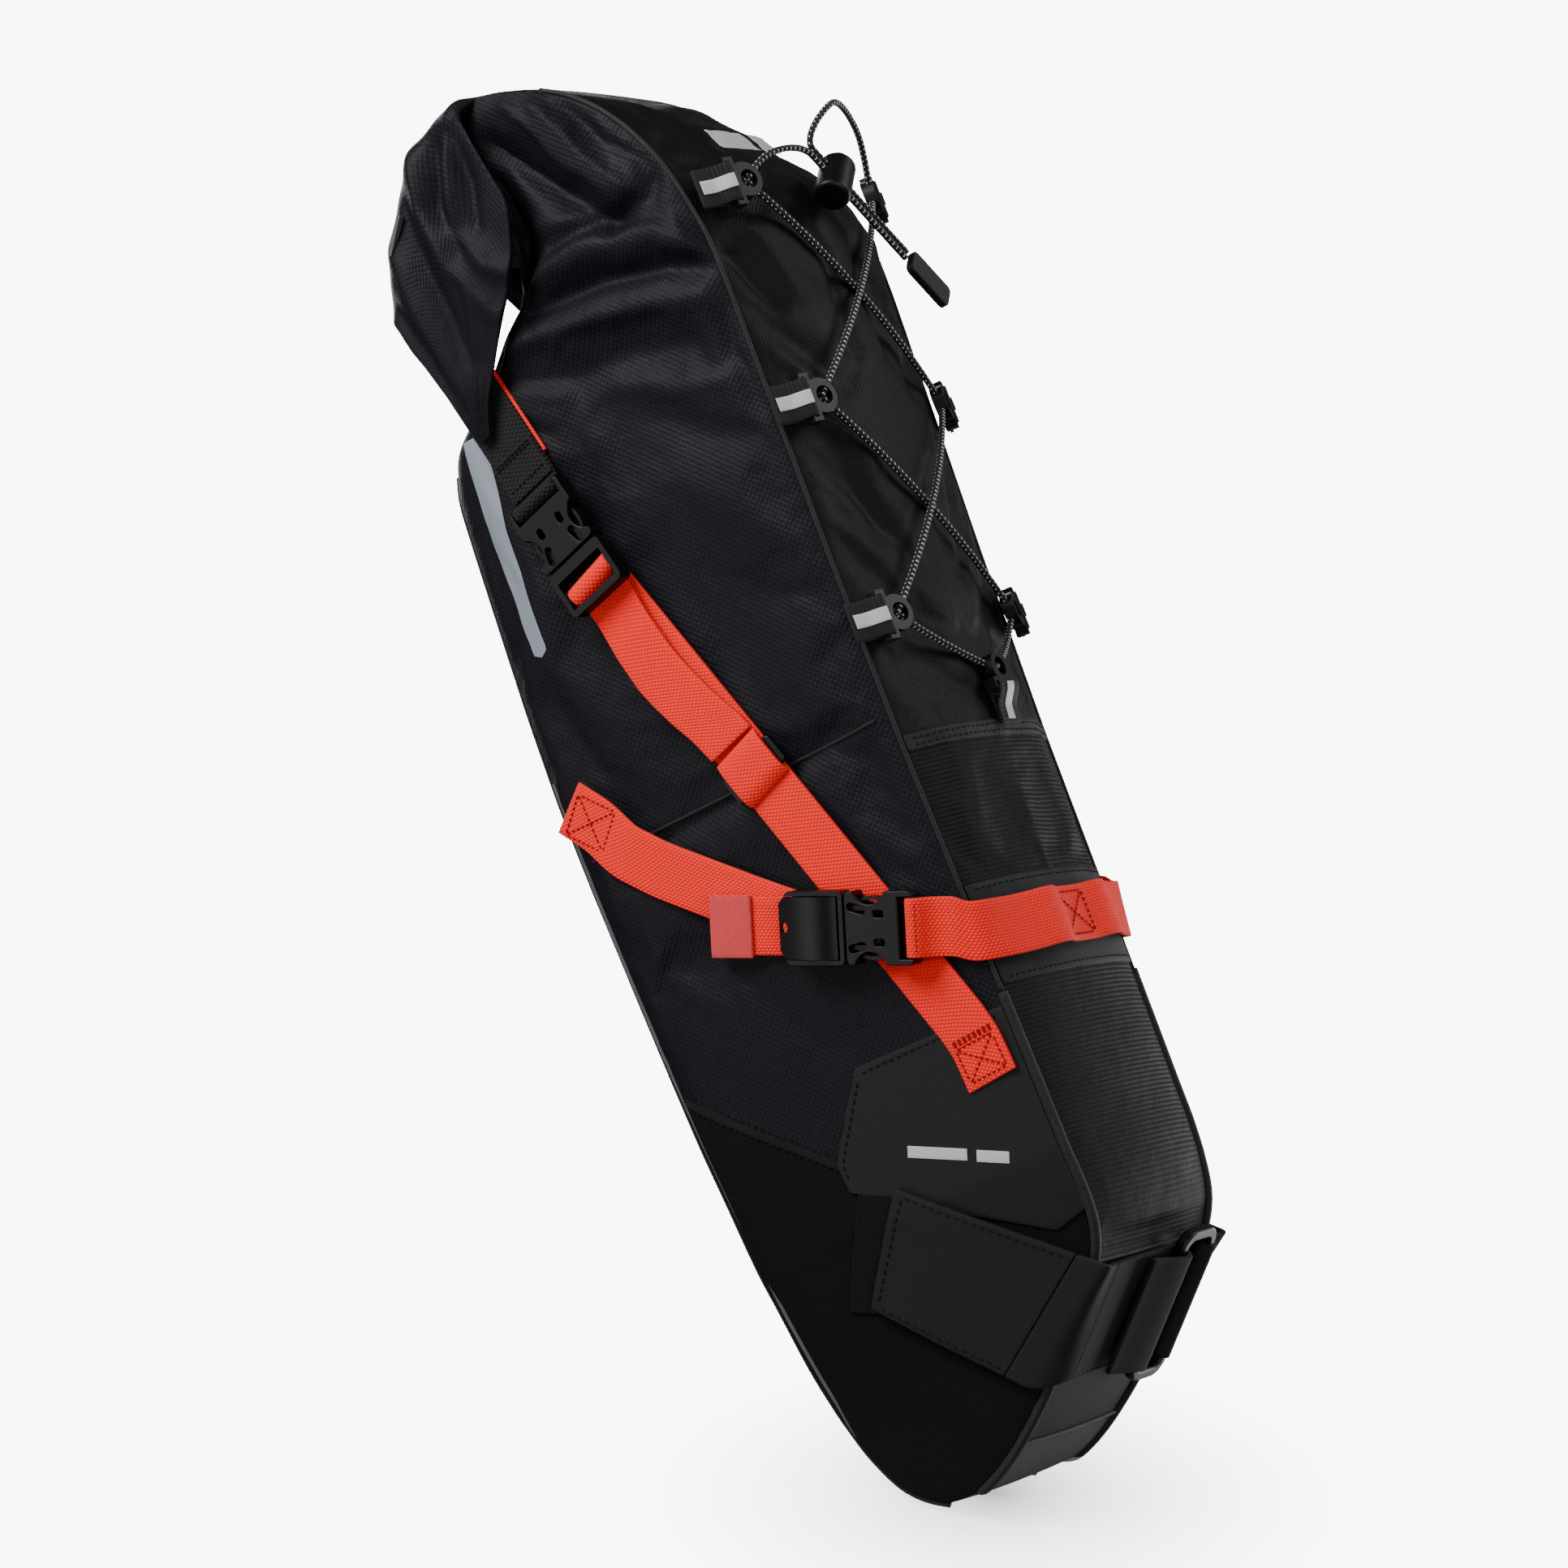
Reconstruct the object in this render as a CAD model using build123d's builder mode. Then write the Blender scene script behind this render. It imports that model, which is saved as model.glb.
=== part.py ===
"""Bikepacking seat pack: a long roll-top saddle bag, built as its separate pieces.

Origin: centre of the face that rests on the seatpost, under the seatpost strap.
+Z runs from the nose to the tail, -Y faces the saddle rails, -X is the rider's right.
Each right-hand piece is modelled once and mirrored for the left. Millimetres.
"""

import os
from math import atan2, cos, sin, tan

from build123d import *

os.makedirs("parts", exist_ok=True)

# ---------------------------------------------------------------- driving dimensions
# Fabric shell
FABRIC = 1.6            # padded wall thickness
SEAM = 0.2              # clear gap between neighbouring panels
TOP_Y = -30.0           # seam line between the top panel and the sides
TOP_START_Z = 36.0      # where that seam leaves the nose
TAIL_LIFT = 6.0         # how far that seam rises towards the collar
POST_HALF = (26.0, 24.0)  # seatpost face, from the origin to its upper and lower edges, along Y
POST_SLOPE = 0.9        # fall of the seatpost face, z per y
NOSE_TIP = (80.0, -50.0)
NOSE_BACK = (127.0, 0.0)
BELLY_Y = 143.0         # deepest point of the underside
BELLY_Z = 230.0
TAIL_LOW = (134.0, 440.0)
BODY_TOP_Z = 480.0      # where the collar starts
NECK = (62.0, 505.0)    # inner corner of the collar's throat
RIDGE = (59.0, 588.0)   # highest point of the folded collar

# Width
NOSE_HALF = 38.0
FLARE_Z = 66.0
FLARE_HALF = 60.0
TAIL_HALF = 75.0
CROWN_NOSE = 5.0        # rise of the top panel's middle above its seams
CROWN_MID = 12.0
CROWN_TAIL = 20.0
PANEL_SPLIT_Z = 246.0   # top panel: laced upper half above, ribbed lower half below
LACED_END_Z = 518.0     # the laced panel reaches over the start of the collar
SIDE_SPLIT_Z = 260.0
BAND_Z = (138.0, 182.0)

# Webbing and moulded hardware
WEB = 25.0
WEB_T = 1.6
BUCKLE_W = 31.0
BUCKLE_T = 9.0
FEMALE_L = 32.0
MALE_START = 33.0
LADDER_END = 55.0
CAM_END = 63.0
MOUTH_HALF = 13.8
POST_STRAP_W = 55.0
POST_STRAP_T = 2.4
RAIL_R = 3.5            # saddle rail radius
RAIL_X = 22.0           # half the distance between the two rails
RAIL_FIT = 0.1
STRAP_Z = 160.0         # middle of the rail strap
CORD_R = 1.5

# Layer heights above the side panels
LAYER_1 = 0.2
LAYER_2 = 2.1
BUCKLE_H = 4.4

REACH = 200.0           # longer than any half of the bag, for cutting prisms

flare = atan2(TAIL_HALF - FLARE_HALF, BODY_TOP_Z - FLARE_Z)
post_tilt = atan2(POST_SLOPE, 1.0)


# ---------------------------------------------------------------- shared geometry
def half_width(z):
    """Half the bag's width at height z, on its straight flare."""
    return FLARE_HALF + (z - FLARE_Z) * tan(flare)


def crown_rise(z):
    """How far the middle of the top panel stands out at height z."""
    if z < PANEL_SPLIT_Z:
        share = (z - TOP_START_Z) / (PANEL_SPLIT_Z - TOP_START_Z)
        return CROWN_NOSE + share * (CROWN_MID - CROWN_NOSE)
    share = (z - PANEL_SPLIT_Z) / (BODY_TOP_Z - PANEL_SPLIT_Z)
    return CROWN_MID + share * (CROWN_TAIL - CROWN_MID)


def edge_y(z):
    """Where the top panel meets the sides at height z."""
    share = max(0.0, (z - PANEL_SPLIT_Z) / (BODY_TOP_Z - PANEL_SPLIT_Z))
    return TOP_Y - share * TAIL_LIFT


def crown_frame(x, z, height, toward):
    """Plane resting on the top panel at (x, z), raised by height, its x axis pointing to toward."""
    half = half_width(z)
    rise = crown_rise(z)
    radius = (half * half + rise * rise) / (2 * rise)
    centre_y = edge_y(z) - rise + radius
    angle = atan2(x, (radius ** 2 - x ** 2) ** 0.5)
    normal = Vector(sin(angle), -cos(angle), 0)
    origin = Vector(0, centre_y, z) + normal * (radius + height)
    along = Vector(toward[0], 0, toward[1])
    along = along - normal * along.dot(normal)
    return Plane(origin=origin, x_dir=along, z_dir=normal)


side_plane = Plane(
    origin=(-FLARE_HALF, 0, FLARE_Z), x_dir=(0, -1, 0), z_dir=(-cos(flare), 0, -sin(flare))
)


def on_side(y, z):
    """Side-plane coordinates of the point at (y, z) on the right side."""
    return (-y, (z - FLARE_Z) / cos(flare))


def side_frame(start, end, height):
    """Plane on the right side at start, height above the panel, its x axis pointing to end."""
    a = side_plane.from_local_coords(Vector(*on_side(*start), height))
    b = side_plane.from_local_coords(Vector(*on_side(*end), height))
    return Plane(origin=a, x_dir=b - a, z_dir=side_plane.z_dir)


post_plane = Plane(
    origin=(0, 0, 0), x_dir=(1, 0, 0), z_dir=(0, -sin(post_tilt), -cos(post_tilt))
)


def save(piece, name):
    """Label one finished piece and write its STEP file."""
    piece.part.label = name
    export_step(piece.part, f"parts/{name}.step")


def save_pair(piece, name):
    """Write the right-hand piece and its mirror image."""
    save(piece, f"{name}_right")
    with BuildPart() as twin:
        mirror(piece.part, about=Plane.YZ)
    save(twin, f"{name}_left")


def save_both(piece, name):
    """Write the right-hand piece and its mirror image together as one group."""
    with BuildPart() as group:
        add(piece.part)
        mirror(piece.part, about=Plane.YZ)
    save(group, name)


def bag_outline(inset=0.0):
    """Side outline of the stuffed bag without its collar, as a flat sketch of y and z."""
    upper = (-POST_HALF[0], POST_HALF[0] * POST_SLOPE)
    lower = (POST_HALF[1], -POST_HALF[1] * POST_SLOPE)
    with BuildSketch() as outline:
        with BuildLine():
            Line((TOP_Y - TAIL_LIFT, BODY_TOP_Z), (TOP_Y, PANEL_SPLIT_Z))
            Line((TOP_Y, PANEL_SPLIT_Z), (TOP_Y, TOP_START_Z))
            Line((TOP_Y, TOP_START_Z), upper)
            Line(upper, lower)
            ThreePointArc(lower, (50, -40), NOSE_TIP)
            ThreePointArc(NOSE_TIP, (112, -36), NOSE_BACK)
            ThreePointArc(NOSE_BACK, (BELLY_Y, BELLY_Z), TAIL_LOW)
            Line(TAIL_LOW, (TAIL_LOW[0] - 12, BODY_TOP_Z))
            Line((TAIL_LOW[0] - 12, BODY_TOP_Z), (TOP_Y - TAIL_LIFT, BODY_TOP_Z))
        make_face()
        if inset > 0:
            offset(amount=-inset, mode=Mode.REPLACE)
    return outline.sketch


def plan_outline(grow):
    """Plan outline of the bag, grown by grow on both sides, as a flat sketch of x and z."""
    low_z = NOSE_TIP[1] - 5
    end_z = RIDGE[1] + 20
    nose = NOSE_HALF + grow
    knee = FLARE_HALF + grow
    tail = half_width(end_z) + grow
    bow = (NOSE_HALF + FLARE_HALF) / 2 + 5 + grow
    with BuildSketch() as outline:
        with BuildLine():
            Line((-nose, low_z), (nose, low_z))
            ThreePointArc((nose, low_z), (bow, (low_z + FLARE_Z) / 2), (knee, FLARE_Z))
            Line((knee, FLARE_Z), (tail, end_z))
            Line((tail, end_z), (-tail, end_z))
            Line((-tail, end_z), (-knee, FLARE_Z))
            ThreePointArc((-knee, FLARE_Z), (-bow, (low_z + FLARE_Z) / 2), (-nose, low_z))
        make_face()
    return outline.sketch


def side_layer(region, low, high, inside_outline=False):
    """A sheet on the right side between two heights above the panel, cut to a YZ region."""
    with BuildPart() as sheet:
        with BuildSketch(Plane.XZ):
            add(plan_outline(high))
            add(plan_outline(low), mode=Mode.SUBTRACT)
        extrude(amount=REACH, both=True)
        with BuildSketch(Plane.YZ):
            with BuildLine():
                Polyline(*region, close=True)
            make_face()
        extrude(amount=-REACH, mode=Mode.INTERSECT)
        if inside_outline:
            with BuildSketch(Plane.YZ):
                add(bag_outline())
            extrude(amount=-REACH, mode=Mode.INTERSECT)
    return sheet


def wall(region, depth_out, depth_in, side_clear):
    """A strip of the bag's outline between two depths, as wide as the plan allows."""
    with BuildPart() as strip:
        with BuildSketch(Plane.YZ):
            add(bag_outline(depth_out))
            add(bag_outline(depth_in), mode=Mode.SUBTRACT)
            with BuildSketch(mode=Mode.INTERSECT):
                with BuildLine():
                    Polyline(*region, close=True)
                make_face()
        extrude(amount=REACH, both=True)
        with BuildSketch(Plane.XZ):
            add(plan_outline(-side_clear))
        extrude(amount=REACH, both=True, mode=Mode.INTERSECT)
    return strip


# ---------------------------------------------------------------- fabric shell
def crown_section(z, low, high):
    """Crowned cross-section of the top panel at height z, between two heights above its arc."""
    half = half_width(z) - SEAM
    rise = crown_rise(z)
    edge = edge_y(z)
    with BuildSketch(Plane.XY.offset(z)) as section:
        with BuildLine():
            ThreePointArc((-half, edge - high), (0, edge - rise - high), (half, edge - high))
            Line((half, edge - high), (half, edge - low))
            ThreePointArc((half, edge - low), (0, edge - rise - low), (-half, edge - low))
            Line((-half, edge - low), (-half, edge - high))
        make_face()
    return section.sketch


def crowned_sheet(z_low, z_high, low, high):
    """A crowned sheet across the top panel from z_low to z_high."""
    sections = [crown_section(z, low, high) for z in (z_low, z_high)]
    with BuildPart() as sheet:
        loft(sections=sections)
    return sheet


boot_seam = ((138, 152), (53, 80))
side_high = [(-60, SIDE_SPLIT_Z + SEAM), (160, SIDE_SPLIT_Z + SEAM), (160, 500), (-60, 500)]
side_low = [
    (-60, SIDE_SPLIT_Z), (160, SIDE_SPLIT_Z), (160, boot_seam[0][1] + 15),
    boot_seam[0], boot_seam[1], (-30, 66), (-60, 60),
]
boot_side = [
    (160, boot_seam[0][1] + 15 - SEAM), (boot_seam[0][0], boot_seam[0][1] - SEAM),
    (boot_seam[1][0], boot_seam[1][1] - SEAM), (-30, 66 - SEAM), (-60, 60 - SEAM),
    (-60, -80), (160, -80),
]
save_pair(side_layer(side_high, -FABRIC, 0, inside_outline=True), "side_panel_upper")
save_pair(side_layer(side_low, -FABRIC, 0, inside_outline=True), "side_panel_lower")
save_both(side_layer(boot_side, -FABRIC, 0, inside_outline=True), "nose_boots")

save(crowned_sheet(PANEL_SPLIT_Z + SEAM, LACED_END_Z, SEAM, FABRIC), "top_panel_upper")
save(crowned_sheet(TOP_START_Z + 4, PANEL_SPLIT_Z, SEAM, FABRIC), "top_panel_lower")
save(crowned_sheet(*BAND_Z, FABRIC + SEAM / 2, FABRIC + 0.9), "reinforcement_band")

wall_clear = FABRIC + SEAM
post_region = [(-29, 34), (-60, 20), (20, -60), (30, -28)]
tip_region = [(30.3, -28), (20, -70), (170, -70), (170, 20), (100, 20)]
under_region = [(100, 20.3), (170, 20.3), (170, 470), (100, 470)]
save(wall(post_region, 0, FABRIC, wall_clear), "seatpost_panel")
save(wall(tip_region, 0, FABRIC, wall_clear), "tip_panel")
save(wall(under_region, 0, FABRIC, wall_clear), "underside_panel")

stiff_region = [(50, -70), (170, -70), (170, 300), (100, 300), (100, 20), (50, -10)]
save(wall(stiff_region, FABRIC + SEAM, FABRIC + SEAM + 1.5, wall_clear + 6), "base_stiffener")


def collar_outline(inset):
    """Side outline of the collar: it leans from the top seam to the ridge over the tail."""
    base_z = BODY_TOP_Z + SEAM
    ridge = (RIDGE[0] - inset, RIDGE[1] - inset)
    throat = (NECK[0] + 10 - inset, NECK[1] + 14)
    neck = (NECK[0] - inset, NECK[1] - inset)
    foot = (TAIL_LOW[0] - 14 - inset, base_z)
    head = (TOP_Y - TAIL_LIFT + inset, base_z)
    with BuildSketch() as outline:
        with BuildLine():
            Spline(head, (-24 + inset, 532), ridge)
            Polyline(ridge, throat, neck, foot, head)
        make_face()
    return outline.sketch


with BuildPart() as tail_collar:
    with BuildSketch(Plane.YZ):
        add(collar_outline(0))
    extrude(amount=TAIL_HALF - 1, both=True)
    with BuildSketch(Plane.YZ):
        add(collar_outline(FABRIC))
    extrude(amount=TAIL_HALF - 1 - FABRIC, both=True, mode=Mode.SUBTRACT)
save(tail_collar, "tail_collar")

# ---------------------------------------------------------------- rolled closure
WING_IN = TAIL_HALF + 6.5
WING_OUT = TAIL_HALF + 17.0
STIFFENER = (18.0, 1.6)
ROLL_BAR = [(75, 588), (93, 581), (117, 551), (128, 529), (126, 512), (100, 508), (78, 518)]
ROLL_WING = [(84, 560), (118, 550), (130, 529), (131, 512), (124, 480), (113, 448), (103, 448),
             (88, 480), (80, 505)]
with BuildPart() as roll_closure:
    with BuildSketch(Plane.YZ):
        with BuildLine():
            Polyline(*ROLL_BAR, close=True)
        make_face()
        fillet(vertices(), radius=6)
    extrude(amount=WING_OUT, both=True)
    for side in (-1, 1):
        with BuildSketch(Plane.YZ.offset(side * WING_IN)):
            with BuildLine():
                Polyline(*ROLL_WING, close=True)
            make_face()
            fillet(vertices(), radius=3)
        extrude(amount=side * (WING_OUT - WING_IN))
    with BuildSketch(Plane.YZ):
        with Locations((100, 545)):
            Rectangle(STIFFENER[0] + 1, STIFFENER[1] + 1, rotation=-50)
    extrude(amount=REACH, both=True, mode=Mode.SUBTRACT)
save(roll_closure, "roll_closure")

with BuildPart() as roll_stiffener:
    with BuildSketch(Plane.YZ):
        with Locations((100, 545)):
            Rectangle(*STIFFENER, rotation=-50)
    extrude(amount=WING_OUT - 4, both=True)
save(roll_stiffener, "roll_stiffener")

# ---------------------------------------------------------------- buckles
SLOT_CLEAR = 0.4
BAR_INSET = 2.0         # how far each webbing bar sits below the buckle's faces
SOCKET_BAR = 1.6        # centre of the socket's webbing bar along the buckle
PRONG = (2.4, 6.6)      # height range of the parts that enter the female half


def socket_half():
    """Socket of a side-release buckle: bar end at the origin, mouth towards +X."""
    with BuildPart() as socket:
        with BuildSketch(Plane.XY):
            with Locations((FEMALE_L / 2, 0)):
                RectangleRounded(FEMALE_L, BUCKLE_W, 2.5)
            with Locations((20.5, 18), (20.5, -18)):
                Circle(8, mode=Mode.SUBTRACT)
            with Locations((5, 0)):
                RectangleRounded(3.6, WEB + 1, 1.2, mode=Mode.SUBTRACT)
            for side in (-1, 1):
                with Locations(Location((26.5, side * 8.2), side * 14)):
                    SlotOverall(8.5, 3.4, mode=Mode.SUBTRACT)
                with Locations((16, side * 6)):
                    RectangleRounded(5, 3, 1.2, mode=Mode.SUBTRACT)
        extrude(amount=BUCKLE_T)
        with BuildSketch(Plane.XY.offset(2)):
            with Locations(((FEMALE_L + 11) / 2 + 1, 0)):
                Rectangle(FEMALE_L - 11 + 2, 2 * MOUTH_HALF)
        extrude(amount=BUCKLE_T - 4, mode=Mode.SUBTRACT)
        for level in (0, BUCKLE_T - BAR_INSET):
            with BuildSketch(Plane.XY.offset(level)):
                with Locations((2.4, 0)):
                    Rectangle(8.8, WEB + 1)
            extrude(amount=BAR_INSET, mode=Mode.SUBTRACT)
        outer = socket.faces().filter_by(Axis.Z).group_by(Axis.Z)
        for group in (outer[0], outer[-1]):
            fillet(group.edges(), radius=0.5)
    return socket


def press_arm(side):
    """One springy arm with its press loop, lying in the socket's side cut-out."""
    with BuildPart() as arm:
        with BuildSketch(Plane.XY.offset(PRONG[0])):
            with Locations((27.5, side * 8.3)):
                Rectangle(10.2, 2)
            with Locations((20.5, side * 10.3)):
                Ellipse(6.8, 3.1)
                Ellipse(5.0, 1.5, mode=Mode.SUBTRACT)
        extrude(amount=PRONG[1] - PRONG[0])
    return arm


def ladder_half():
    """Plug of the tail buckle: guide prong, solid shoulder and a two-bar webbing ladder."""
    with BuildPart() as plug:
        with BuildSketch(Plane.XY):
            with Locations(((MALE_START + LADDER_END) / 2, 0)):
                RectangleRounded(LADDER_END - MALE_START, BUCKLE_W, 2.5)
            with Locations((40.5, 0)):
                RectangleRounded(5, WEB + 1.4, 1, mode=Mode.SUBTRACT)
            with Locations((49.6, 0)):
                RectangleRounded(4.2, WEB + 1.4, 1, mode=Mode.SUBTRACT)
        extrude(amount=BUCKLE_T - 1)
        with BuildSketch(Plane.XY):
            with Locations((45.2, 0)):
                Rectangle(13.6, WEB + 1.4)
        extrude(amount=2, mode=Mode.SUBTRACT)
        with BuildSketch(Plane.XY.offset(BUCKLE_T - 3)):
            with Locations((45.2, 0)):
                Rectangle(13.6, WEB + 1.4)
        extrude(amount=3, mode=Mode.SUBTRACT)
        with BuildSketch(Plane.XY.offset(PRONG[0])):
            with Locations((MALE_START - 9, 0)):
                Rectangle(20, 4.8)
        extrude(amount=PRONG[1] - PRONG[0])
    return plug


CAM_HINGE = (38.5, 6.0)
CAM_PIN_R = 1.5
CAM_CLEAR = 0.05


def cam_half():
    """Plug of the rail buckle: guide prong, floor with a webbing slot and two side cheeks."""
    with BuildPart() as plug:
        with BuildSketch(Plane.XY):
            with Locations(((MALE_START + CAM_END - 2) / 2, 0)):
                RectangleRounded(CAM_END - 2 - MALE_START, BUCKLE_W, 2.5)
            with Locations((54, 0)):
                RectangleRounded(4, WEB + 1, 1, mode=Mode.SUBTRACT)
        extrude(amount=BUCKLE_T)
        with BuildSketch(Plane.XY.offset(1.6)):
            with Locations((51, 0)):
                Rectangle(32, 2 * MOUTH_HALF - 0.4)
        extrude(amount=BUCKLE_T, mode=Mode.SUBTRACT)
        with BuildSketch(Plane.XY.offset(PRONG[0])):
            with Locations((MALE_START - 9, 0)):
                Rectangle(20, 4.8)
        extrude(amount=PRONG[1] - PRONG[0])
        with BuildSketch(Plane.XZ):
            with Locations(CAM_HINGE):
                Circle(CAM_PIN_R + CAM_CLEAR)
        extrude(amount=14.7, both=True, mode=Mode.SUBTRACT)
    return plug


def cam_lever():
    """Curved locking flap that pinches the webbing, with a finger hole near its rounded nose."""
    half = MOUTH_HALF - 0.6
    with BuildPart() as lever:
        with BuildSketch(Plane.XZ):
            with BuildLine():
                Line((36.5, 6), (36.5, 8.2))
                Spline((36.5, 8.2), (40, 10.2), (52, 10.4), (66, 5.2))
                Line((66, 5.2), (65.4, 3.2))
                Spline((65.4, 3.2), (52, 7.4), (42, 5.0))
                Line((42, 5.0), (40, 4.2))
                Line((40, 4.2), (36.5, 6))
            make_face()
        extrude(amount=half, both=True)
        with BuildSketch(Plane.XY):
            with Locations((52, 0)):
                RectangleRounded(32, 2 * half, 3)
            with Locations((54.2, 0)):
                Circle(15.4, mode=Mode.INTERSECT)
            with Locations((45, 0)):
                Rectangle(20, 2 * half)
            with Locations((63, 0)):
                Circle(2.3, mode=Mode.SUBTRACT)
        extrude(amount=3 * BUCKLE_T, both=True, mode=Mode.INTERSECT)
        with BuildSketch(Plane.XZ):
            with Locations(CAM_HINGE):
                Circle(CAM_PIN_R)
        extrude(amount=14.5, both=True)
    return lever


def across(frame):
    """Plane through the buckle's centre line: its x axis runs along the buckle, its y axis outwards."""
    return Plane(origin=frame.origin, x_dir=frame.x_dir, z_dir=-frame.y_dir)


def place_pair(piece, frame, name):
    """Put a piece made at the origin onto a side frame and write it with its mirror image."""
    with BuildPart() as placed:
        add(piece.part.moved(frame.location))
    save_pair(placed, name)


tail_on_side = side_frame((83, 412), (70, 360), BUCKLE_H)
tail_frame = Plane(origin=tail_on_side.origin, x_dir=(0, -13, -52), z_dir=(-1, 0, 0))
rail_frame = side_frame((-11, 173), (56, 200), BUCKLE_H)
for frame, buckle, plug in (
    (tail_frame, "tail_buckle", ladder_half()),
    (rail_frame, "rail_buckle", cam_half()),
):
    place_pair(socket_half(), frame, f"{buckle}_socket")
    place_pair(plug, frame, f"{buckle}_plug")
    place_pair(press_arm(1), frame, f"{buckle}_arm_a")
    place_pair(press_arm(-1), frame, f"{buckle}_arm_b")
place_pair(cam_lever(), rail_frame, "rail_buckle_cam")

# ---------------------------------------------------------------- webbing on the sides
ANCHOR = (-14, 117)     # sewn lower end of the compression strap, y and z
PATCH_END = (126, 278)  # sewn end of the lower rail strap
TAB = (14.0, 23.0)      # hook-and-loop keeper tab, length and width


def strap_between(frame, length, low, high, width=WEB):
    """Flat webbing along the frame's x axis, from its origin."""
    with BuildPart() as strap:
        with BuildSketch(frame.offset(low)):
            with Locations((length / 2, 0)):
                Rectangle(length, width)
        extrude(amount=high - low)
    return strap


def distance(a, b):
    """Straight distance between two side points."""
    return ((a[0] - b[0]) ** 2 + (a[1] - b[1]) ** 2) ** 0.5


bar_centre = (LADDER_END - 9.8) / distance((83, 412), (70, 360))
strap_top = (83 - 13 * bar_centre, 412 - 52 * bar_centre)
strap_frame = side_frame(ANCHOR, strap_top, 0)
strap_length = distance(ANCHOR, strap_top)
GLIDE_AT = 155.0        # tri-glide, measured up the strap from its sewn end
GLIDE = (14.0, 31.0, 2.6)

with BuildPart() as compression_strap:
    add(strap_between(strap_frame, strap_length, LAYER_1, LAYER_1 + WEB_T).part)
    doubled = Plane(origin=strap_frame.from_local_coords(Vector(GLIDE_AT + GLIDE[0], 0, 0)),
                    x_dir=strap_frame.x_dir, z_dir=strap_frame.z_dir)
    add(strap_between(doubled, strap_length - GLIDE_AT - GLIDE[0], LAYER_1 + WEB_T, LAYER_2 + WEB_T).part)
    with BuildSketch(across(tail_frame)):
        with Locations((LADDER_END - 9.8, 4)):
            Rectangle(7.6, 9.4)
            Rectangle(4.8, 6.2, mode=Mode.SUBTRACT)
    extrude(amount=WEB / 2, both=True)
save_both(compression_strap, "compression_straps")

glide_frame = Plane(origin=strap_frame.from_local_coords(Vector(GLIDE_AT, 0, LAYER_2)),
                    x_dir=strap_frame.x_dir, z_dir=strap_frame.z_dir)
with BuildPart() as tri_glide:
    with BuildSketch(glide_frame):
        RectangleRounded(GLIDE[0], GLIDE[1], 2)
        with Locations((3.1, 0), (-3.1, 0)):
            RectangleRounded(3, WEB + 1, 1, mode=Mode.SUBTRACT)
    extrude(amount=GLIDE[2])
    fillet(tri_glide.faces().filter_by(glide_frame).sort_by(Axis(glide_frame.origin, glide_frame.z_dir))[-1]
           .outer_wire().edges(), radius=0.8)
save_pair(tri_glide, "tri_glide")

TAIL_START = 56.5       # rail strap's loose tail, measured along the rail buckle
TAIL_LENGTH = 46.0
rail_tail_frame = Plane(origin=rail_frame.from_local_coords(Vector(TAIL_START, 0, 0)),
                        x_dir=rail_frame.x_dir, z_dir=rail_frame.z_dir)
with BuildPart() as rail_strap_tail:
    add(strap_between(rail_tail_frame, TAIL_LENGTH, -WEB_T - SLOT_CLEAR, -SLOT_CLEAR).part)
save_pair(rail_strap_tail, "rail_strap_tail")

keeper_frame = Plane(origin=rail_tail_frame.from_local_coords(Vector(TAIL_LENGTH - TAB[0] - 2, 0, 0)),
                     x_dir=rail_frame.x_dir, z_dir=rail_frame.z_dir)
save_pair(strap_between(keeper_frame, TAB[0] + 2, 0, WEB_T, TAB[1]), "keeper_tab")

lower_frame = side_frame(PATCH_END, (70, 214), 0)
save_both(strap_between(lower_frame, 68, LAYER_1, LAYER_1 + WEB_T), "lower_rail_straps")



def bar_loop(frame):
    """Webbing looped round a socket's bar, drawn across the buckle."""
    with BuildPart() as loop:
        with BuildSketch(across(frame)):
            with Locations((SOCKET_BAR, BUCKLE_T / 2)):
                Rectangle(7.2, BUCKLE_T - 0.2)
                Rectangle(4.0, BUCKLE_T - 3.4, mode=Mode.SUBTRACT)
        extrude(amount=WEB / 2, both=True)
    return loop


def strap_to_bar(frame, length):
    """Flat webbing that leaves the socket's bar and runs away from its mouth."""
    start = Plane(origin=frame.from_local_coords(Vector(-length, 0, 0)), x_dir=frame.x_dir, z_dir=frame.z_dir)
    return strap_between(start, length + SOCKET_BAR, -1.4, 0.2)


with BuildPart() as tail_webbing:
    add(bar_loop(tail_frame).part)
    add(strap_to_bar(tail_frame, 74).part)
save_pair(tail_webbing, "tail_webbing")

# Rail strap: sewn to the band in the middle, humped over each rail, looped on the socket's bar
strap_low = FABRIC + 1.6
strap_half = half_width(STRAP_Z)
strap_rise = crown_rise(STRAP_Z)
hump_r = RAIL_R + RAIL_FIT
rail_share = 1 - (RAIL_X / strap_half) ** 2
DROP_OUT = 5.0          # how far they stand off the sides
DROP_Y = TOP_Y + 8      # where the strap's ends hang below the corner of the bag
rail_y = TOP_Y - strap_rise * rail_share - strap_low - hump_r + 0.2


def under_arc(height, half):
    """Region below the top panel's arc raised by height, as a flat sketch of x and y."""
    with BuildSketch() as region:
        with BuildLine():
            ThreePointArc((-half, TOP_Y - height), (0, TOP_Y - strap_rise - height), (half, TOP_Y - height))
            Polyline((half, TOP_Y - height), (half, DROP_Y), (-half, DROP_Y), (-half, TOP_Y - height))
        make_face()
    return region.sketch


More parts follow.
